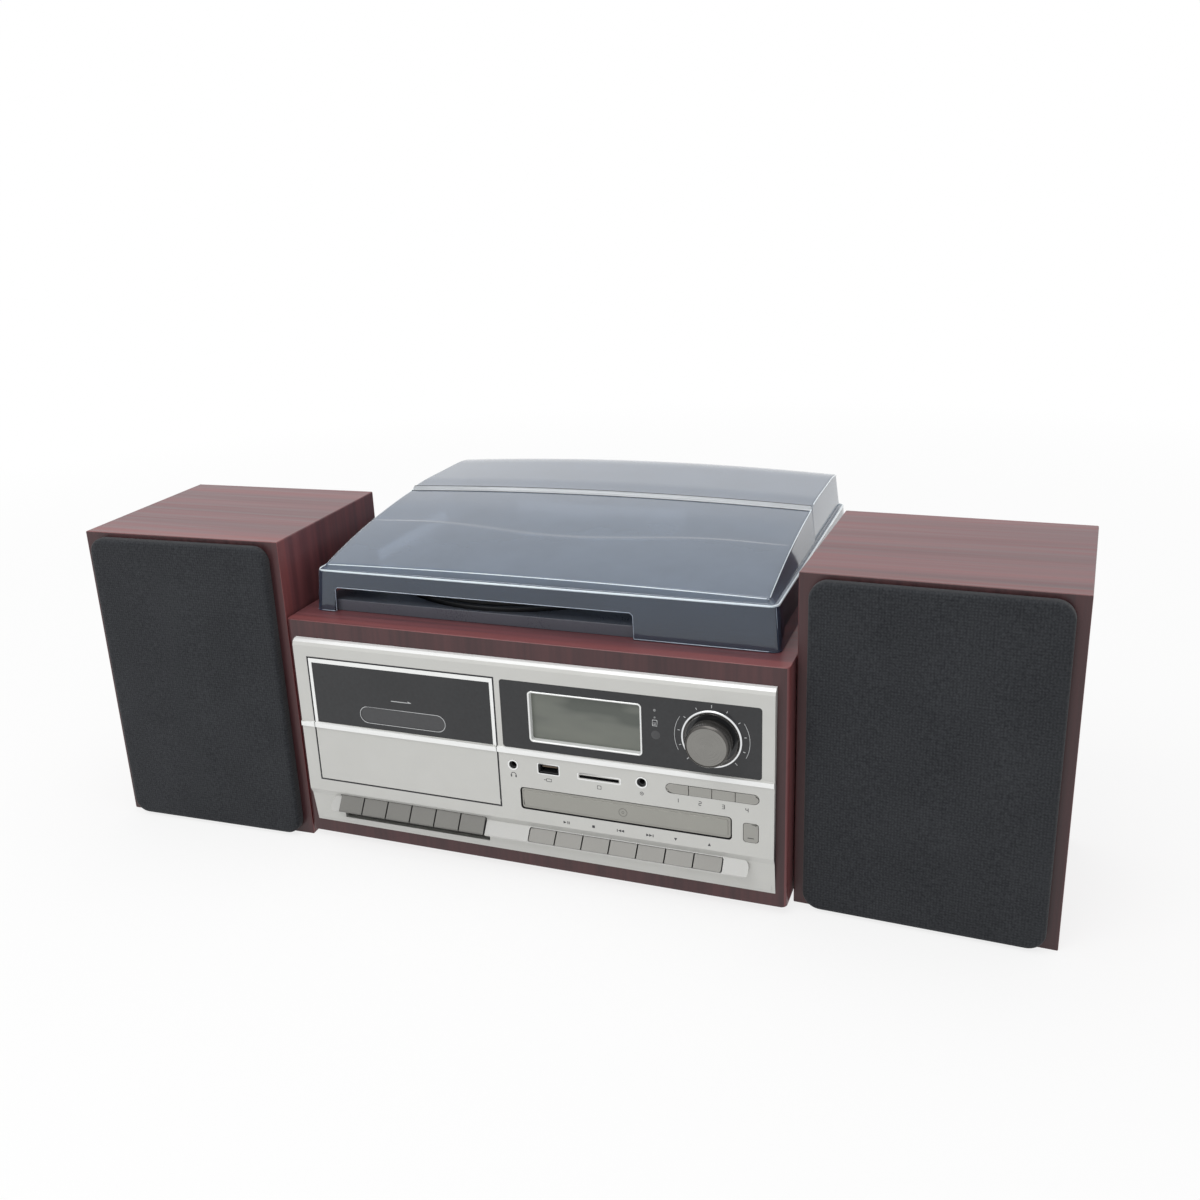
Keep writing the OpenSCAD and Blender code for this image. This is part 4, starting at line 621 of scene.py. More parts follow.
def knob_finish(name, tone, metal, turn_scale):
    """Turned metal: circular brushing round the knob's axis."""
    material, tree, skin = shader(name)
    place = add(tree, "TexCoord").outputs["Object"]
    middle = at(KNOB_X, 0, KNOB_Z)
    mapped = add(tree, "Mapping", {"Vector": place, "Location": (-middle.x, 0, -middle.z)})
    parts = add(tree, "SeparateXYZ", {0: mapped.outputs[0]})
    radius = add(tree, "VectorMath", {0: mapped.outputs[0], 1: (1, 0, 1)}, operation="MULTIPLY")
    length = add(tree, "VectorMath", {0: radius.outputs[0]}, operation="LENGTH").outputs["Value"]
    angle = maths(tree, "ARCTAN2", parts.outputs[2], parts.outputs[0])
    joined = add(tree, "CombineXYZ", {0: length, 1: angle, 2: 0.0}).outputs[0]
    rings = noise(tree, 1.0, (turn_scale, 0.6, 1), 3.0, joined)
    dark, light = shade(tone, 0.90), shade(tone, 1.08)
    around = add(tree, "Tangent", direction_type="RADIAL", axis="Y").outputs[0]
    feed(tree, skin, {"Base Color": ramp(tree, rings, [(MOST_LOW, dark), (MOST_HIGH, light)]),
                      "Roughness": spread(tree, rings, 0.26, 0.36), "Metallic": metal,
                      "Normal": bumped(tree, rings, 0.15, 0.0001), "Anisotropic": 0.75,
                      "Tangent": around})
    return material


# volume knob: brushed face, fine grip lines round the side, and its chrome ring
FINISH["knob"] = knob_finish("turned_metal", (0.25, 0.245, 0.23), 0.85, 5200)
FINISH["knob_side"] = moulded("knob_side", (0.105, 0.10, 0.095), 0.22, 0.9, 900, 0.04, 0.04)
GRIPS = 120
knob_profile = [(12.3, -17.9), (12.5, -18.3), (12.9, -18.3), (13.4, -17.7), (13.8, -16.9),
                (13.8, -12), (13.8, -7.6), (13.2, -7.2), (13, -6.6), (13, -5.9), (3.2, -5.9),
                (3.2, -13), (12.3, -13)]
lathe("volume_knob_turned", knob_profile, turned_front(KNOB_X, KNOB_Z), "knob_body", "knob_side",
      ("volume_knob",), GRIPS * 2, 28,
      lambda k, i: 0.16 * (i % 2) - 0.08 if 4 <= k <= 6 else 0)
face_profile = [(0, -18.1), (6, -18.12), (11.9, -18.16), (12.3, -18.0), (12.3, -16), (0, -16)]
lathe("volume_knob_face", face_profile, turned_front(KNOB_X, KNOB_Z), "knob_body", "knob",
      (), 96, 28)
ring_profile = [(15.9, -5.35), (15.9, -5.9), (16.9, -6.2), (17.5, -6.95), (18.0, -7.1),
                (18.5, -7.0), (18.9, -6.6), (19.05, -6.1), (19.05, -5.35)]
lathe("volume_ring_turned", ring_profile, turned_front(KNOB_X, KNOB_Z), "centre_unit", "chrome",
      ("volume_ring",), 96, 40)

# ---------- marks on the front ----------

# ticks round the knob, longer at the ends and the middle, and an arc on either side
DIAL_START, DIAL_STEP, TICKS = 225, 27, 11
DIAL_R, ARC_R = 20.2, 23.4
ticks = []
for i in range(TICKS):
    a = math.radians(DIAL_START - DIAL_STEP * i)
    end = DIAL_R + (1.4 if i % 5 else 2.0)
    ticks.append(stroke(KNOB_X + DIAL_R * math.cos(a), KNOB_Z + DIAL_R * math.sin(a),
                        KNOB_X + end * math.cos(a), KNOB_Z + end * math.sin(a), 0.45))
for a0, a1 in ((148, 206), (-26, 32)):
    ticks.append(arc_mark(KNOB_X, KNOB_Z, ARC_R, a0, a1, 0.3))
flat_marks("dial_marks", ticks, WIN_Y, "centre_unit", "light_print")

# two small lamps and the remote receiver, between the display and the knob
for name, x, z, r, finish in (("standby_light", 91.3, 134, 0.9, "grey"),
                              ("radio_light", 91.3, 129.2, 0.7, "grey"),
                              ("remote_eye", 91.7, 117.5, 2.9, "pane")):
    dome = [(0, WIN_Y - 0.45), (r * 0.5, WIN_Y - 0.38), (r * 0.85, WIN_Y - 0.2), (r, WIN_Y - 0.02),
            (r, WIN_Y + 0.2), (0, WIN_Y + 0.2)]
    lathe(name, dome, turned_front(x, z), "centre_unit", finish, count=32)
icon = loop_strip(rounded(89.6, 93.0, 123.4, 127.6, 0.5, 2), 0.35)
icon += [stroke(90.4, 125.5, 92.2, 125.5, 0.3), stroke(90.4, 124.5, 92.2, 124.5, 0.3)]
flat_marks("receiver_marks", icon, WIN_Y, "centre_unit", "light_print")

# arrow on the cassette window and the line round its pane
arrow = [stroke(-93, 118.2, -80, 118.2, 0.55), [(-80.4, 119.3), (-77.6, 118.2), (-80.4, 117.9)]]
arrow += loop_strip(rounded(-118.15, -53.45, 99.65, 111.95, 6.1, 10), 0.4)
flat_marks("tape_arrow", arrow, -5.2, "door_body", "light_print", 0.05)


# painted shadow: a soft dark line just outside the door's gap, broken by the ridge
SHADOW_LINE, SHADOW_OUT = 0.55, 0.6
x0, x1, z0, z1 = (edge + way * SHADOW_OUT for edge, way in zip(DOOR, (-1, 1, -1, 1)))
gap_shadow = [stroke(x0 - SHADOW_LINE, z1 + SHADOW_LINE / 2, x1 + SHADOW_LINE, z1 + SHADOW_LINE / 2, SHADOW_LINE),
            stroke(x0 - SHADOW_LINE, z0 - SHADOW_LINE / 2, x1 + SHADOW_LINE, z0 - SHADOW_LINE / 2, SHADOW_LINE)]
for x in (x0 - SHADOW_LINE / 2, x1 + SHADOW_LINE / 2):
    gap_shadow += [stroke(x, z0, x, 91.3, SHADOW_LINE), stroke(x, 96.2, x, z1, SHADOW_LINE)]
flat_marks("door_gap_shadow", gap_shadow, FACE_Y, "centre_unit", "dark_print_and_shade", 0.04)

ROW, SIGN = 46.6, 2.0  # height of the row of transport symbols, and their size


def triangle(x, way=1):
    """Points right, or left with way at -1."""
    half = SIGN / 2
    return [(x - way * half, ROW + half), (x + way * half, ROW), (x - way * half, ROW - half)]


def up_triangle(x, way=1):
    """Points up, or down with way at -1."""
    half = SIGN / 2
    return [(x - half, ROW - way * half), (x, ROW + way * half), (x + half, ROW - way * half)]


def upright(x):
    return stroke(x, ROW + SIGN / 2, x, ROW - SIGN / 2, 0.5)


# transport symbols printed above the lower buttons, and numbers under the mode buttons
signs = [triangle(28.4), upright(30.4), upright(31.4),
         [(47.3, ROW + 0.9), (49.1, ROW + 0.9), (49.1, ROW - 0.9), (47.3, ROW - 0.9)],
         triangle(66.0, -1), triangle(68.0, -1), upright(64.4),
         triangle(84.8), triangle(86.8), upright(88.4), up_triangle(103.2, -1), up_triangle(125.0)]
DIGITS = {"1": ["r1", "r2"], "2": ["t", "r1", "m", "l2", "b"], "3": ["t", "r1", "m", "r2", "b"],
          "4": ["l1", "m", "r1", "r2"]}


def digit(sign, x, z, w=1.5, h=2.6):
    """A plain digit made of straight strokes."""
    lines = {"t": (x, z + h, x + w, z + h), "m": (x, z + h / 2, x + w, z + h / 2),
             "b": (x, z, x + w, z), "l1": (x, z + h, x, z + h / 2), "l2": (x, z + h / 2, x, z),
             "r1": (x + w, z + h, x + w, z + h / 2), "r2": (x + w, z + h / 2, x + w, z)}
    return [stroke(*lines[k], 0.4) for k in DIGITS[sign]]


MODE_X, MODE_PITCH = 103.9, 14.7
for i, sign in enumerate("1234"):
    signs += digit(sign, MODE_X + MODE_PITCH * i, 73.2)

# little pictures under the sockets: headphones, plug, card and jack
PHONES_X, AUX_X, SOCKET_Z = -6.1, 81.7, 83.4
signs += [arc_mark(PHONES_X, 76.2, 1.7, 0, 180, 0.4),
          [(-8.2, 76.2), (-7.3, 76.2), (-7.3, 74.6), (-8.2, 74.6)],
          [(-4.9, 76.2), (-4.0, 76.2), (-4.0, 74.6), (-4.9, 74.6)]]
signs += loop_strip(rounded(16.9, 20.7, 74.6, 76.8, 0.3, 2), 0.3)
signs += [stroke(15.4, 75.7, 16.9, 75.7, 0.4)]
signs += loop_strip(rounded(51.9, 54.7, 74.4, 77.0, 0.3, 2), 0.3)
signs += loop_strip(circle(AUX_X, 75.7, 1.25, 20), 0.35) + [circle(AUX_X, 75.7, 0.4, 12)]
flat_marks("front_signs", signs, FACE_Y, "centre_unit", "dark_print_and_shade", 0.05)

# bright frames and collars round the sockets
frames = loop_strip(rounded(11.0, 26.6, 79.5, 87.3, 1.0, 4), 0.6)
frames += loop_strip(rounded(38.6, 68.0, 79.4, 84.2, 1.0, 4), 0.6)
flat_marks("socket_frames", frames, FACE_Y, "centre_unit", "trim_and_highlight", 0.15)
for name, x, collar in (("headphone_collar", PHONES_X, 2.8), ("aux_collar", AUX_X, 3.1)):
    r = collar + 0.9
    profile = [(collar, -5.15), (collar, -5.75), (collar + 0.3, -5.95), (r - 0.3, -5.95),
               (r, -5.75), (r, -5.15)]
    lathe(name, profile, turned_front(x, SOCKET_Z), "centre_unit", "trim_and_highlight")
tongue = [[(13.6, 84.6), (24.0, 84.6), (24.0, 83.5), (13.6, 83.5)]]
flat_marks("usb_tongue", tongue, -1.0, "centre_unit", "contact", 1.6)

# dash on the eject button and the disc sign on the drawer
flat_marks("eject_dash", [stroke(149.2, 55.6, 153.2, 55.6, 0.5)], -5.9, "eject_body",
           "dark_print_and_shade")
DISC = (68.65, 60.1)
disc = loop_strip(circle(*DISC, 2.9, 36), 0.35) + loop_strip(circle(*DISC, 0.9, 20), 0.3)
flat_marks("disc_sign", disc, -5.4, "drawer_body", "slot_grey")

# ---------- record deck ----------

refine("turntable_deck", "deck", 0.4)
refine("platter_motor", "steel", 0.2)
refine("motor_pulley", "brass", 0.15)
refine("arm_gimbal", "steel", 0.3)
refine("tonearm", "chrome", 0.3)
refine("cue_lever", "steel", 0.1)
refine("speed_switch", "grey", 0.3)
SPINDLE = (-38.5, 129.5)


def on_spindle(c, n):
    """The spindle, which stands above the platter."""
    return c[2] > 181 and math.hypot(c[0] - SPINDLE[0], c[1] - SPINDLE[1]) < 5


refine("platter", "platter", 0.3, paint=(("chrome", on_spindle),))


MAT_TOP, GROOVES, GROOVE_PITCH = 180.5, 35, 2.1
mat_profile = [(4.5, 178.5), (96, 178.5), (96, MAT_TOP - 0.4), (95.6, MAT_TOP)]
for k in range(GROOVES):
    r = 93 - k * GROOVE_PITCH
    mat_profile += [(r + 0.6, MAT_TOP), (r + 0.3, MAT_TOP - 0.35), (r - 0.3, MAT_TOP - 0.35),
                    (r - 0.6, MAT_TOP)]
mat_profile += [(18, MAT_TOP), (17.6, MAT_TOP - 0.3), (4.5, MAT_TOP - 0.3)]
lathe("platter_mat_grooved", mat_profile, turned_up(*SPINDLE), "platter_body", "rubber",
      ("platter_mat",), 128, 20)

# ---------- dust cover ----------

COVER_X = 1.0
RIM_Z, BASE_Z = 197.0, 168.3
TOP_HALF, TOP_Y0, TOP_Y1 = 156.5, 25.9, 259.1
STEP_Y = TOP_Y0 + 0.567 * (TOP_Y1 - TOP_Y0)
WALL, ARCH = 3.3, 19.5  # height of the wall under the top's front edge, and of the arch
STEP_RISE, STEP_RUN = 2.2, 1.2  # height of the step, and half its depth
CREASE = 0.5  # depth of the shallow crease in front of the step
HIGHLIGHT_STRIP = 3.6  # depth of the pale strip at the foot of the step, a painted highlight
EDGE = 1.6  # rounding between the top and its walls
CORNER = 5.0
NEAR_EDGE = 6  # grid lines this near to an edge move with it
FINE = (0, 0.12, 0.4, 0.9, 1.6, 3.0, 5.0)  # grid lines in from an edge


def smooth_step(t):
    t = min(max(t, 0), 1)
    return t * t * (3 - 2 * t)


def top_height(x, y):
    """Height of the cover's top: an arch in front of the step, flatter behind it."""
    u = min((y - TOP_Y0) / (STEP_Y - TOP_Y0), 1.0)
    z = RIM_Z + WALL + ARCH * (1.67 * u - 0.67 * u * u)
    if y > STEP_Y - STEP_RUN:
        rise = smooth_step((y - STEP_Y + STEP_RUN) / STEP_RUN / 2)
        z += STEP_RISE * rise + 0.9 * smooth_step((y - STEP_Y) / 24)
        z -= 2.9 * max(0, (y - (TOP_Y1 - 30)) / 30) ** 3
    s = (x - COVER_X) / TOP_HALF
    crown = 2 + 3 * (y - TOP_Y0) / (TOP_Y1 - TOP_Y0)
    # the crease bows forward in the middle and dies out at the sides
    bow = 78 + 14 * math.sin(min(abs(s) * 1.3, 1) * math.pi / 2) ** 2
    fold = CREASE * smooth_step(9 * (1 - abs(s)))
    z -= fold * smooth_step((y - bow) / (1.5 + 4.5 * (1 - s * s)))
    z += fold * smooth_step((y - bow - 8) / 34)
    return z + crown * (1 - s * s)


def roll_off(d, radius):
    """Drop of a rounded edge at a distance d in from it."""
    if d >= radius:
        return 0.0
    return radius - math.sqrt(max(radius ** 2 - (radius - d) ** 2, 0))


def edge_lines(low, high, count):
    """Grid lines between two edges, close together near both."""
    inner_low, inner_high = low + FINE[-1], high - FINE[-1]
    lines = [low + f for f in FINE]
    lines += [inner_low + (inner_high - inner_low) * i / count for i in range(1, count)]
    return lines + [high - f for f in reversed(FINE)]


def corner_point(x, y, box, r):
    """Moves a point on a rectangle's edge onto its rounded corner."""
    x0, x1, y0, y1 = box
    cx, cy = min(max(x, x0 + r), x1 - r), min(max(y, y0 + r), y1 - r)
    dx, dy = x - cx, y - cy
    if dx == 0 or dy == 0:
        return x, y
    k = r / math.hypot(dx, dy)
    return cx + dx * k, cy + dy * k


def moved(line, low, high, new_low, new_high):
    """Moves a grid line along with the edge that it is near."""
    if line <= low + NEAR_EDGE:
        return new_low + (line - low)
    if line >= high - NEAR_EDGE:
        return new_high - (high - line)
    return line


# half width, front, back, height and corner of each ring, from the foot of the top to the skirt's
RINGS = ((TOP_HALF, TOP_Y0, TOP_Y1, RIM_Z + 0.5, 3.5),
         (TOP_HALF + 0.4, TOP_Y0 - 0.4, TOP_Y1 + 0.4, RIM_Z, 3.5),
         (159.0, 23.3, 261.7, RIM_Z, CORNER), (159.4, 23.0, 262.0, RIM_Z - 0.3, CORNER),
         (159.6, 22.8, 262.2, RIM_Z - 1.0, CORNER), (161.9, 20.5, 264.5, BASE_Z, CORNER))


def cover_skin():
    """The cover's outer surface: arched top with its step, rim ledge and skirt."""
    xs = edge_lines(COVER_X - TOP_HALF + 2.5, COVER_X + TOP_HALF - 2.5, 40)
    ys = edge_lines(TOP_Y0 + 0.3, TOP_Y1 - 2.0, 46)
    ys = sorted(ys + [77 + 1.1 * k for k in range(18)])
    ys = sorted(ys + [STEP_Y + d for d in (-HIGHLIGHT_STRIP, -1.6, -1.2, -0.8, -0.4, 0, 0.4, 0.8, 1.2, 1.6)])
    bm = bmesh.new()
    grid = []
    for y in ys:
        row = []
        for x in xs:
            inward = min(x - xs[0], xs[-1] - x, y - ys[0], ys[-1] - y)
            z = top_height(x, y) - roll_off(inward, EDGE)
            px, py = x, y
            if inward == 0:
                px, py = corner_point(x, y, (xs[0], xs[-1], ys[0], ys[-1]), 3.0)
            row.append(bm.verts.new(at(px, py, z)))
        grid.append(row)
    for a, b in zip(grid, grid[1:]):
        for i in range(len(xs) - 1):
            bm.faces.new((a[i], a[i + 1], b[i + 1], b[i]))
    border = [(x, ys[0]) for x in xs] + [(xs[-1], y) for y in ys[1:]]
    border += [(x, ys[-1]) for x in reversed(xs[:-1])] + [(xs[0], y) for y in reversed(ys[1:-1])]
    loop = grid[0] + [row[-1] for row in grid[1:]] + list(reversed(grid[-1][:-1]))
    loop += [row[0] for row in reversed(grid[1:-1])]

    def ring(half, y0, y1, z, r):
        box = (COVER_X - half, COVER_X + half, y0, y1)
        made = []
        for x, y in border:
            qx = moved(x, xs[0], xs[-1], box[0], box[1])
            qy = moved(y, ys[0], ys[-1], y0, y1)
            made.append(bm.verts.new(at(*corner_point(qx, qy, box, r), z)))
        return made

    rings = [ring(*sizes) for sizes in RINGS]
    for one, two in zip([loop] + rings, rings):
        band(bm, one, two)
    return from_bmesh(bm, "cover_skin")


CUT_TOP, CUT_LOW = 185.2, 160  # the openings in the skirt: their top, and a height below its foot
CUT_CORNER = 1.5


def opening_cutter(x0, x1, y0, y1, shaped):
    """A block that cuts an opening in the skirt. The front one's ends slope a little."""
    outline = [(x0, CUT_LOW), (x1, CUT_LOW), (x1, CUT_TOP), (x0, CUT_TOP)]
    if shaped:
        outline = [(x0 - 2, CUT_LOW), (x1 + 1, CUT_LOW), (x1, CUT_TOP - CUT_CORNER),
                   (x1 - CUT_CORNER, CUT_TOP), (x0 + CUT_CORNER, CUT_TOP),
                   (x0, CUT_TOP - CUT_CORNER)]
    bm = bmesh.new()
    prism(bm, outline, y0, y1)
    return in_scene("cutter", from_bmesh(bm, "cutter"))


def dust_cover():
    """Thin smoked shell with an opening at the front, the left side and the back."""
    shell = in_scene("cover_skin", cover_skin())
    thick = shell.modifiers.new("thick", "SOLIDIFY")
    thick.thickness = 0.0022
    thick.offset = -1
    thick.use_even_offset = True
    cutters = [opening_cutter(-144.5, 69.5, 15, 30, True),
               opening_cutter(-170, -150, 36.5, 222.5, False),
               opening_cutter(-112.5, 35.5, 255, 270, False)]
    for cutter in cutters:
        step = shell.modifiers.new("cut", "BOOLEAN")
        step.operation = "DIFFERENCE"
        step.solver = "EXACT"
        step.object = cutter
    bpy.context.view_layer.update()
    done = shell.evaluated_get(bpy.context.evaluated_depsgraph_get())
    result = bpy.data.meshes.new_from_object(done)
    for o in cutters + [shell]:
        bpy.data.objects.remove(o)
    return result


shell = place_piece("dust_cover_shell", dust_cover(), "cover", "acrylic",
                    ("dust_cover",), 32)
# painted light: a pale highlight strip runs up the step, and the skirt below the rim gets a darker
# painted shade
shell.data.materials.append(FINISH["acrylic_highlight"])
shell.data.materials.append(FINISH["acrylic_skirt_shade"])
for face in shell.data.polygons:
    y = face.center.y * 1000 + Y_MID
    if -HIGHLIGHT_STRIP < y - STEP_Y < 1.3 and face.center.z > 0.205 and abs(face.normal.x) < 0.5:
        face.material_index = 1
    elif face.center.z < (RIM_Z - 0.2) / 1000:
        face.material_index = 2


BEAD_SIDES = 6


def bead(name, points, r, finish, closed=False):
    """A fine rounded lip along a line of (x, y, z) points of the dust cover, in a finish that paints
    light there: pale for highlights, dark for shade.
    """
    bm = bmesh.new()
    rings = []
    count = len(points)
    spots = [at(*p) for p in points]
    for i in range(count):
        before = spots[(i - 1) % count] if closed or i else spots[i]
        after = spots[(i + 1) % count] if closed or i < count - 1 else spots[i]
        way = (after - before).normalized()
        across = way.cross(Vector((0.31, 0.17, 0.94))).normalized()
        over = way.cross(across)
        turns = [2 * math.pi * k / BEAD_SIDES for k in range(BEAD_SIDES)]
        rings.append([bm.verts.new(spots[i] + r / 1000 * (math.cos(a) * across + math.sin(a) * over))
                      for a in turns])
    for one, two in zip(rings, rings[1:] + (rings[:1] if closed else [])):
        band(bm, one, two)
    if not closed:
        bm.faces.new(rings[0][::-1])
        bm.faces.new(rings[-1])
    return place_piece(name, from_bmesh(bm, name), "cover", finish, (), 60)


def dense(points):
    """More points, about 8 mm apart, on the straight stretches of a closed line in x and y."""
    made = []
    for a, b in zip(points, points[1:] + points[:1]):
        n = max(1, round(math.hypot(b[0] - a[0], b[1] - a[1]) / 8))
        made += [(a[0] + (b[0] - a[0]) * k / n, a[1] + (b[1] - a[1]) * k / n) for k in range(n)]
    return made


# pale lips along the cover's rim and the top's edge: painted highlights
rim_line = rounded(COVER_X - 159.0, COVER_X + 159.0, 23.5, 261.5, 4.8, 5)
bead("cover_rim_lip", [(x, y, RIM_Z - 0.5) for x, y in rim_line], 0.85, "edge_shine", True)
top_line = dense(rounded(COVER_X - 153.4, COVER_X + 153.4, TOP_Y0 + 1.0, TOP_Y1 - 2.6, 2.6, 5))
bead("cover_top_lip", [(x, y, top_height(x, y) - 0.72) for x, y in top_line], 0.45, "edge_shine",
     True)
# painted shade: dark lines at the foot of the step and just behind it
step_xs = [COVER_X - 153 + 7.65 * k for k in range(41)]
for word, y in (("foot", STEP_Y - HIGHLIGHT_STRIP), ("line", STEP_Y + 1.4)):
    bead("cover_step_shade_" + word, [(x, y, top_height(x, y)) for x in step_xs], 0.32, "black")


def skirt_y(z):
    """y of the skirt's front at a height."""
    return 20.5 + 2.3 * (z - BASE_Z) / (RIM_Z - 1 - BASE_Z)


# pale lips along the openings, the skirt's foot and its front corners: painted highlights
FOOT_Z = BASE_Z + 0.5  # where the lips along the skirt's foot run
LIP = 0.28
foot_y = skirt_y(FOOT_Z)
cut_line = [(-144.2, skirt_y(169), FOOT_Z), (-144.2, skirt_y(183.7), 183.9),
            (-142.8, skirt_y(185.4), 185.4), (67.8, skirt_y(185.4), 185.4),
            (69.8, skirt_y(183.7), 183.7), (70.6, skirt_y(169), FOOT_Z)]
cut_line += [(x, foot_y, FOOT_Z) for x in (100, 130, 155)]
cut_line += [(160.2, 21.9, FOOT_Z), (162.3, 26, FOOT_Z), (162.6, 30, FOOT_Z), (162.6, 255, FOOT_Z)]
bead("cover_cut_lip", cut_line, LIP, "edge_shine_soft")
left_line = [(-145.2, foot_y), (-155, foot_y), (-159.6, 22.0), (-160.5, 26.0), (-160.5, 35.5)]
bead("cover_left_lip", [(x, y, FOOT_Z) for x, y in left_line], LIP, "edge_shine_soft")
for word, way in (("left", -1), ("right", 1)):
    corner = [(COVER_X + way * (160.2 - 2.2 * t), 22.2 + 2.2 * t, FOOT_Z + 27.4 * t)
              for t in (0, 0.25, 0.5, 0.75, 1)]
    bead("cover_corner_" + word, corner, 0.25, "edge_shine_soft")

HINGE_Y, HINGE_Z, LUG_R, LUG_HALF = 269.5, 174, 4.5, 7
for word, x in (("left", -127), ("right", 129)):
    # rounded ear at the back of the cover that turns on the hinge pin
    points = []
    for i in range(13):
        a = math.radians(-90 + 180 * i / 12)
        points.append((HINGE_Y + LUG_R * math.cos(a), HINGE_Z + LUG_R * math.sin(a)))
    points += [(262.3, 178.5), (262.3, 171.5), (266.0, 171.5)]
    rings = [[at(px, y, z) for y, z in points] for px in (x - LUG_HALF, x + LUG_HALF)]
    lofted("hinge_lug_" + word, rings, "cover", "acrylic")

# ---------- loudspeakers ----------

SPEAKERS = (("left", -1, 2.1), ("right", 1, 18.2))  # word, side, y of the inner front edge
SPEAKER_W, DRIVER_Z = 157.0, 91.0
SPEAKER_X = 173.3  # inner front edge, from the middle of the set
TOE = 2.0  # degrees that each loudspeaker is turned


def speaker_place(side, front):
    """Maps a loudspeaker's own x, y, z to the frame. Its x runs left to right."""
    turn = math.radians(-TOE * side)
    shift = -SPEAKER_W if side < 0 else 0

    def place(x, y, z):
        px, py = x + shift, y
        qx = px * math.cos(turn) - py * math.sin(turn)
        qy = px * math.sin(turn) + py * math.cos(turn)
        return at(side * SPEAKER_X + qx, front + qy, z)

    return place


for word, side, front in SPEAKERS:
    place = speaker_place(side, front)
    origin = place(0, 0, 0)
    turn = -TOE * side
    a = math.radians(turn)
    depth = -math.sin(a) * origin.x + math.cos(a) * origin.y
    refine(word + "_speaker_box", wood("wood_" + word, turn, depth), 0.7, 3)
    refine(word + "_terminal", "black", 0.25)
    # cloth stretched round the frame: rounded front edge and a very slight crown
    rings = []
    for inset, y in ((0.3, -0.2), (0, -0.9), (0, -5.2), (0.25, -6.3), (0.9, -7.2), (1.8, -7.75),
                     (3.0, -7.97), (4.2, -8.0), (9.0, -8.0)):
        r = max(11 - inset, 3)
        outline = rounded(7 + inset, 150 - inset, 2 + inset, 218.5 - inset, r, 10)
        rings.append([place(x, y, z) for x, z in outline])
    lofted(word + "_grille_cloth", rings, word + "_grille_body", "cloth",
           (word + "_grille",), 40)
    cone = [(0, -0.4), (4, 0.0), (8, 0.6), (10.5, 1.6), (11, 3.0), (14, 8.5), (22, 5.4), (30, 2.6),
            (35, 0.9), (37, -0.4), (39, -1.0), (41, -1.2), (43, -0.8), (44.4, -0.2), (44.8, -0.55),
            (51.6, -0.55), (51.9, -0.4), (51.9, -0.02), (44.6, -0.02), (44.4, 3), (33, 5), (26, 26),
            (34, 26), (34, 43.9), (0, 43.9)]
    lathe(word + "_driver_cone", cone,
          lambda u, v, along, p=place: p(SPEAKER_W / 2 + u, along, DRIVER_Z + v),
          word + "_speaker", "paper", (word + "_driver",), 96, 30)

# ---------- floor, light and camera ----------

WHITE = 1.0
ROOM_LIGHT = 0.55
FLOOR_HALF = 6.0


def seen_directly(tree):
    """1 for camera, mirror and see-through rays, and 0 for light that falls on the object."""
    path = add(tree, "LightPath").outputs
    seen = maths(tree, "MAXIMUM", path["Is Camera Ray"], path["Is Glossy Ray"])
    return maths(tree, "MAXIMUM", seen, path["Is Transmission Ray"])


def seen_white(tree, lit, amount):
    """Mixes a plain white glow over a shader, for what is seen directly."""
    share = maths(tree, "MULTIPLY", seen_directly(tree), amount)
    glow = add(tree, "Emission", {"Color": (1, 1, 1, 1), "Strength": WHITE})
    return add(tree, "MixShader", {0: share, 1: lit, 2: glow.outputs[0]}).outputs[0]


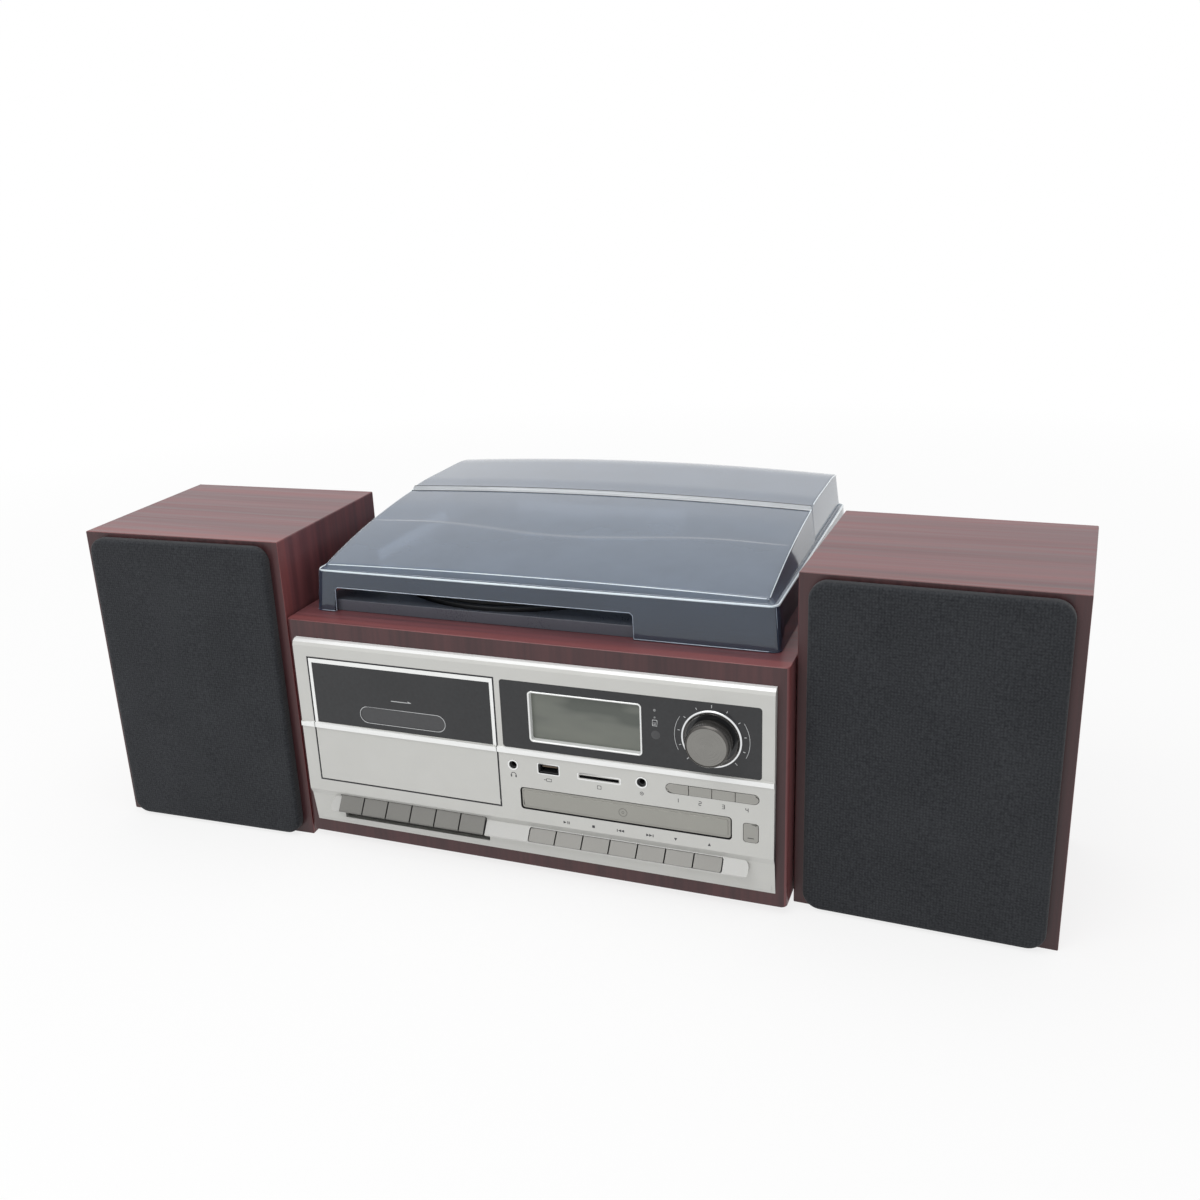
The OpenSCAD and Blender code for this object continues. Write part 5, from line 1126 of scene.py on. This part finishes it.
def floor():
    """A pale floor that keeps the object's shadow and turns white further away."""
    mesh = bpy.data.meshes.new("floor")
    corners = [(x * FLOOR_HALF, y * FLOOR_HALF, 0) for x, y in ((-1, -1), (1, -1), (1, 1), (-1, 1))]
    mesh.from_pydata(corners, [], [(0, 1, 2, 3)])
    ground = in_scene("floor", mesh)
    material, tree, skin = shader("floor_white")
    feed(tree, skin, {"Base Color": (0.93, 0.93, 0.93, 1), "Roughness": 0.9,
                      "Specular IOR Level": 0.0})
    out = [n for n in tree.nodes if n.type == "OUTPUT_MATERIAL"][0]
    place = add(tree, "TexCoord").outputs["Object"]
    away = add(tree, "VectorMath", {0: place}, operation="LENGTH").outputs["Value"]
    share = add(tree, "MapRange", {"Value": away, 1: 0.5, 2: 1.6, 3: 0.80, 4: 1.0}).outputs[0]
    tree.links.new(seen_white(tree, skin.outputs[0], share), out.inputs[0])
    mesh.materials.append(material)


floor()


def world():
    """Even light from all round, seen as plain white."""
    room = bpy.data.worlds.new("room")
    bpy.context.scene.world = room
    room.use_nodes = True
    tree = room.node_tree
    tree.nodes.clear()
    out = tree.nodes.new("ShaderNodeOutputWorld")
    strength = add(tree, "MapRange", {"Value": seen_directly(tree), 1: 0.0, 2: 1.0, 3: ROOM_LIGHT,
                                      4: WHITE}).outputs[0]
    glow = add(tree, "Background", {"Color": (1, 1, 1, 1), "Strength": strength})
    tree.links.new(glow.outputs[0], out.inputs[0])


world()


AIM = (0, 0, 0.1)  # the point that the lamps look at


def lamp(name, place, width, height, power):
    """A soft rectangular lamp."""
    data = bpy.data.lights.new(name, "AREA")
    data.shape = "RECTANGLE"
    data.size, data.size_y = width, height
    data.energy = power
    light = in_scene(name, data)
    light.location = place
    light.rotation_mode = "QUATERNION"
    light.rotation_quaternion = (Vector(AIM) - Vector(place)).to_track_quat("-Z", "Y")


lamp("key", (-0.5, -1.3, 1.7), 1.4, 1.0, 14)
lamp("overhead", (0.1, 0.1, 2.0), 1.8, 1.4, 12)

# the photograph's camera: focal length and optical centre in pixels, place and directions
FOCAL_PIXELS, IMAGE, CENTRE_X, SENSOR = 1224.86, 1200, 558.95, 36
EYE, AHEAD, RIGHT = (0.3020, -0.79935, 0.4465), (-0.3618, 0.8719, -0.330), (0.9289, 0.3670, -0.0487)
camera_data = bpy.data.cameras.new("camera")
camera_data.sensor_width = SENSOR
camera_data.lens = SENSOR * FOCAL_PIXELS / IMAGE
camera_data.shift_x = (IMAGE / 2 - CENTRE_X) / IMAGE
camera = in_scene("camera", camera_data)
forward = Vector(AHEAD).normalized()
right = Vector(RIGHT)
right = (right - forward * right.dot(forward)).normalized()
up = right.cross(forward)
turn = Matrix((right, up, -forward)).transposed()
camera.matrix_world = Matrix.Translation(EYE) @ turn.to_4x4()
bpy.context.scene.camera = camera
bpy.context.scene.view_settings.view_transform = "Standard"
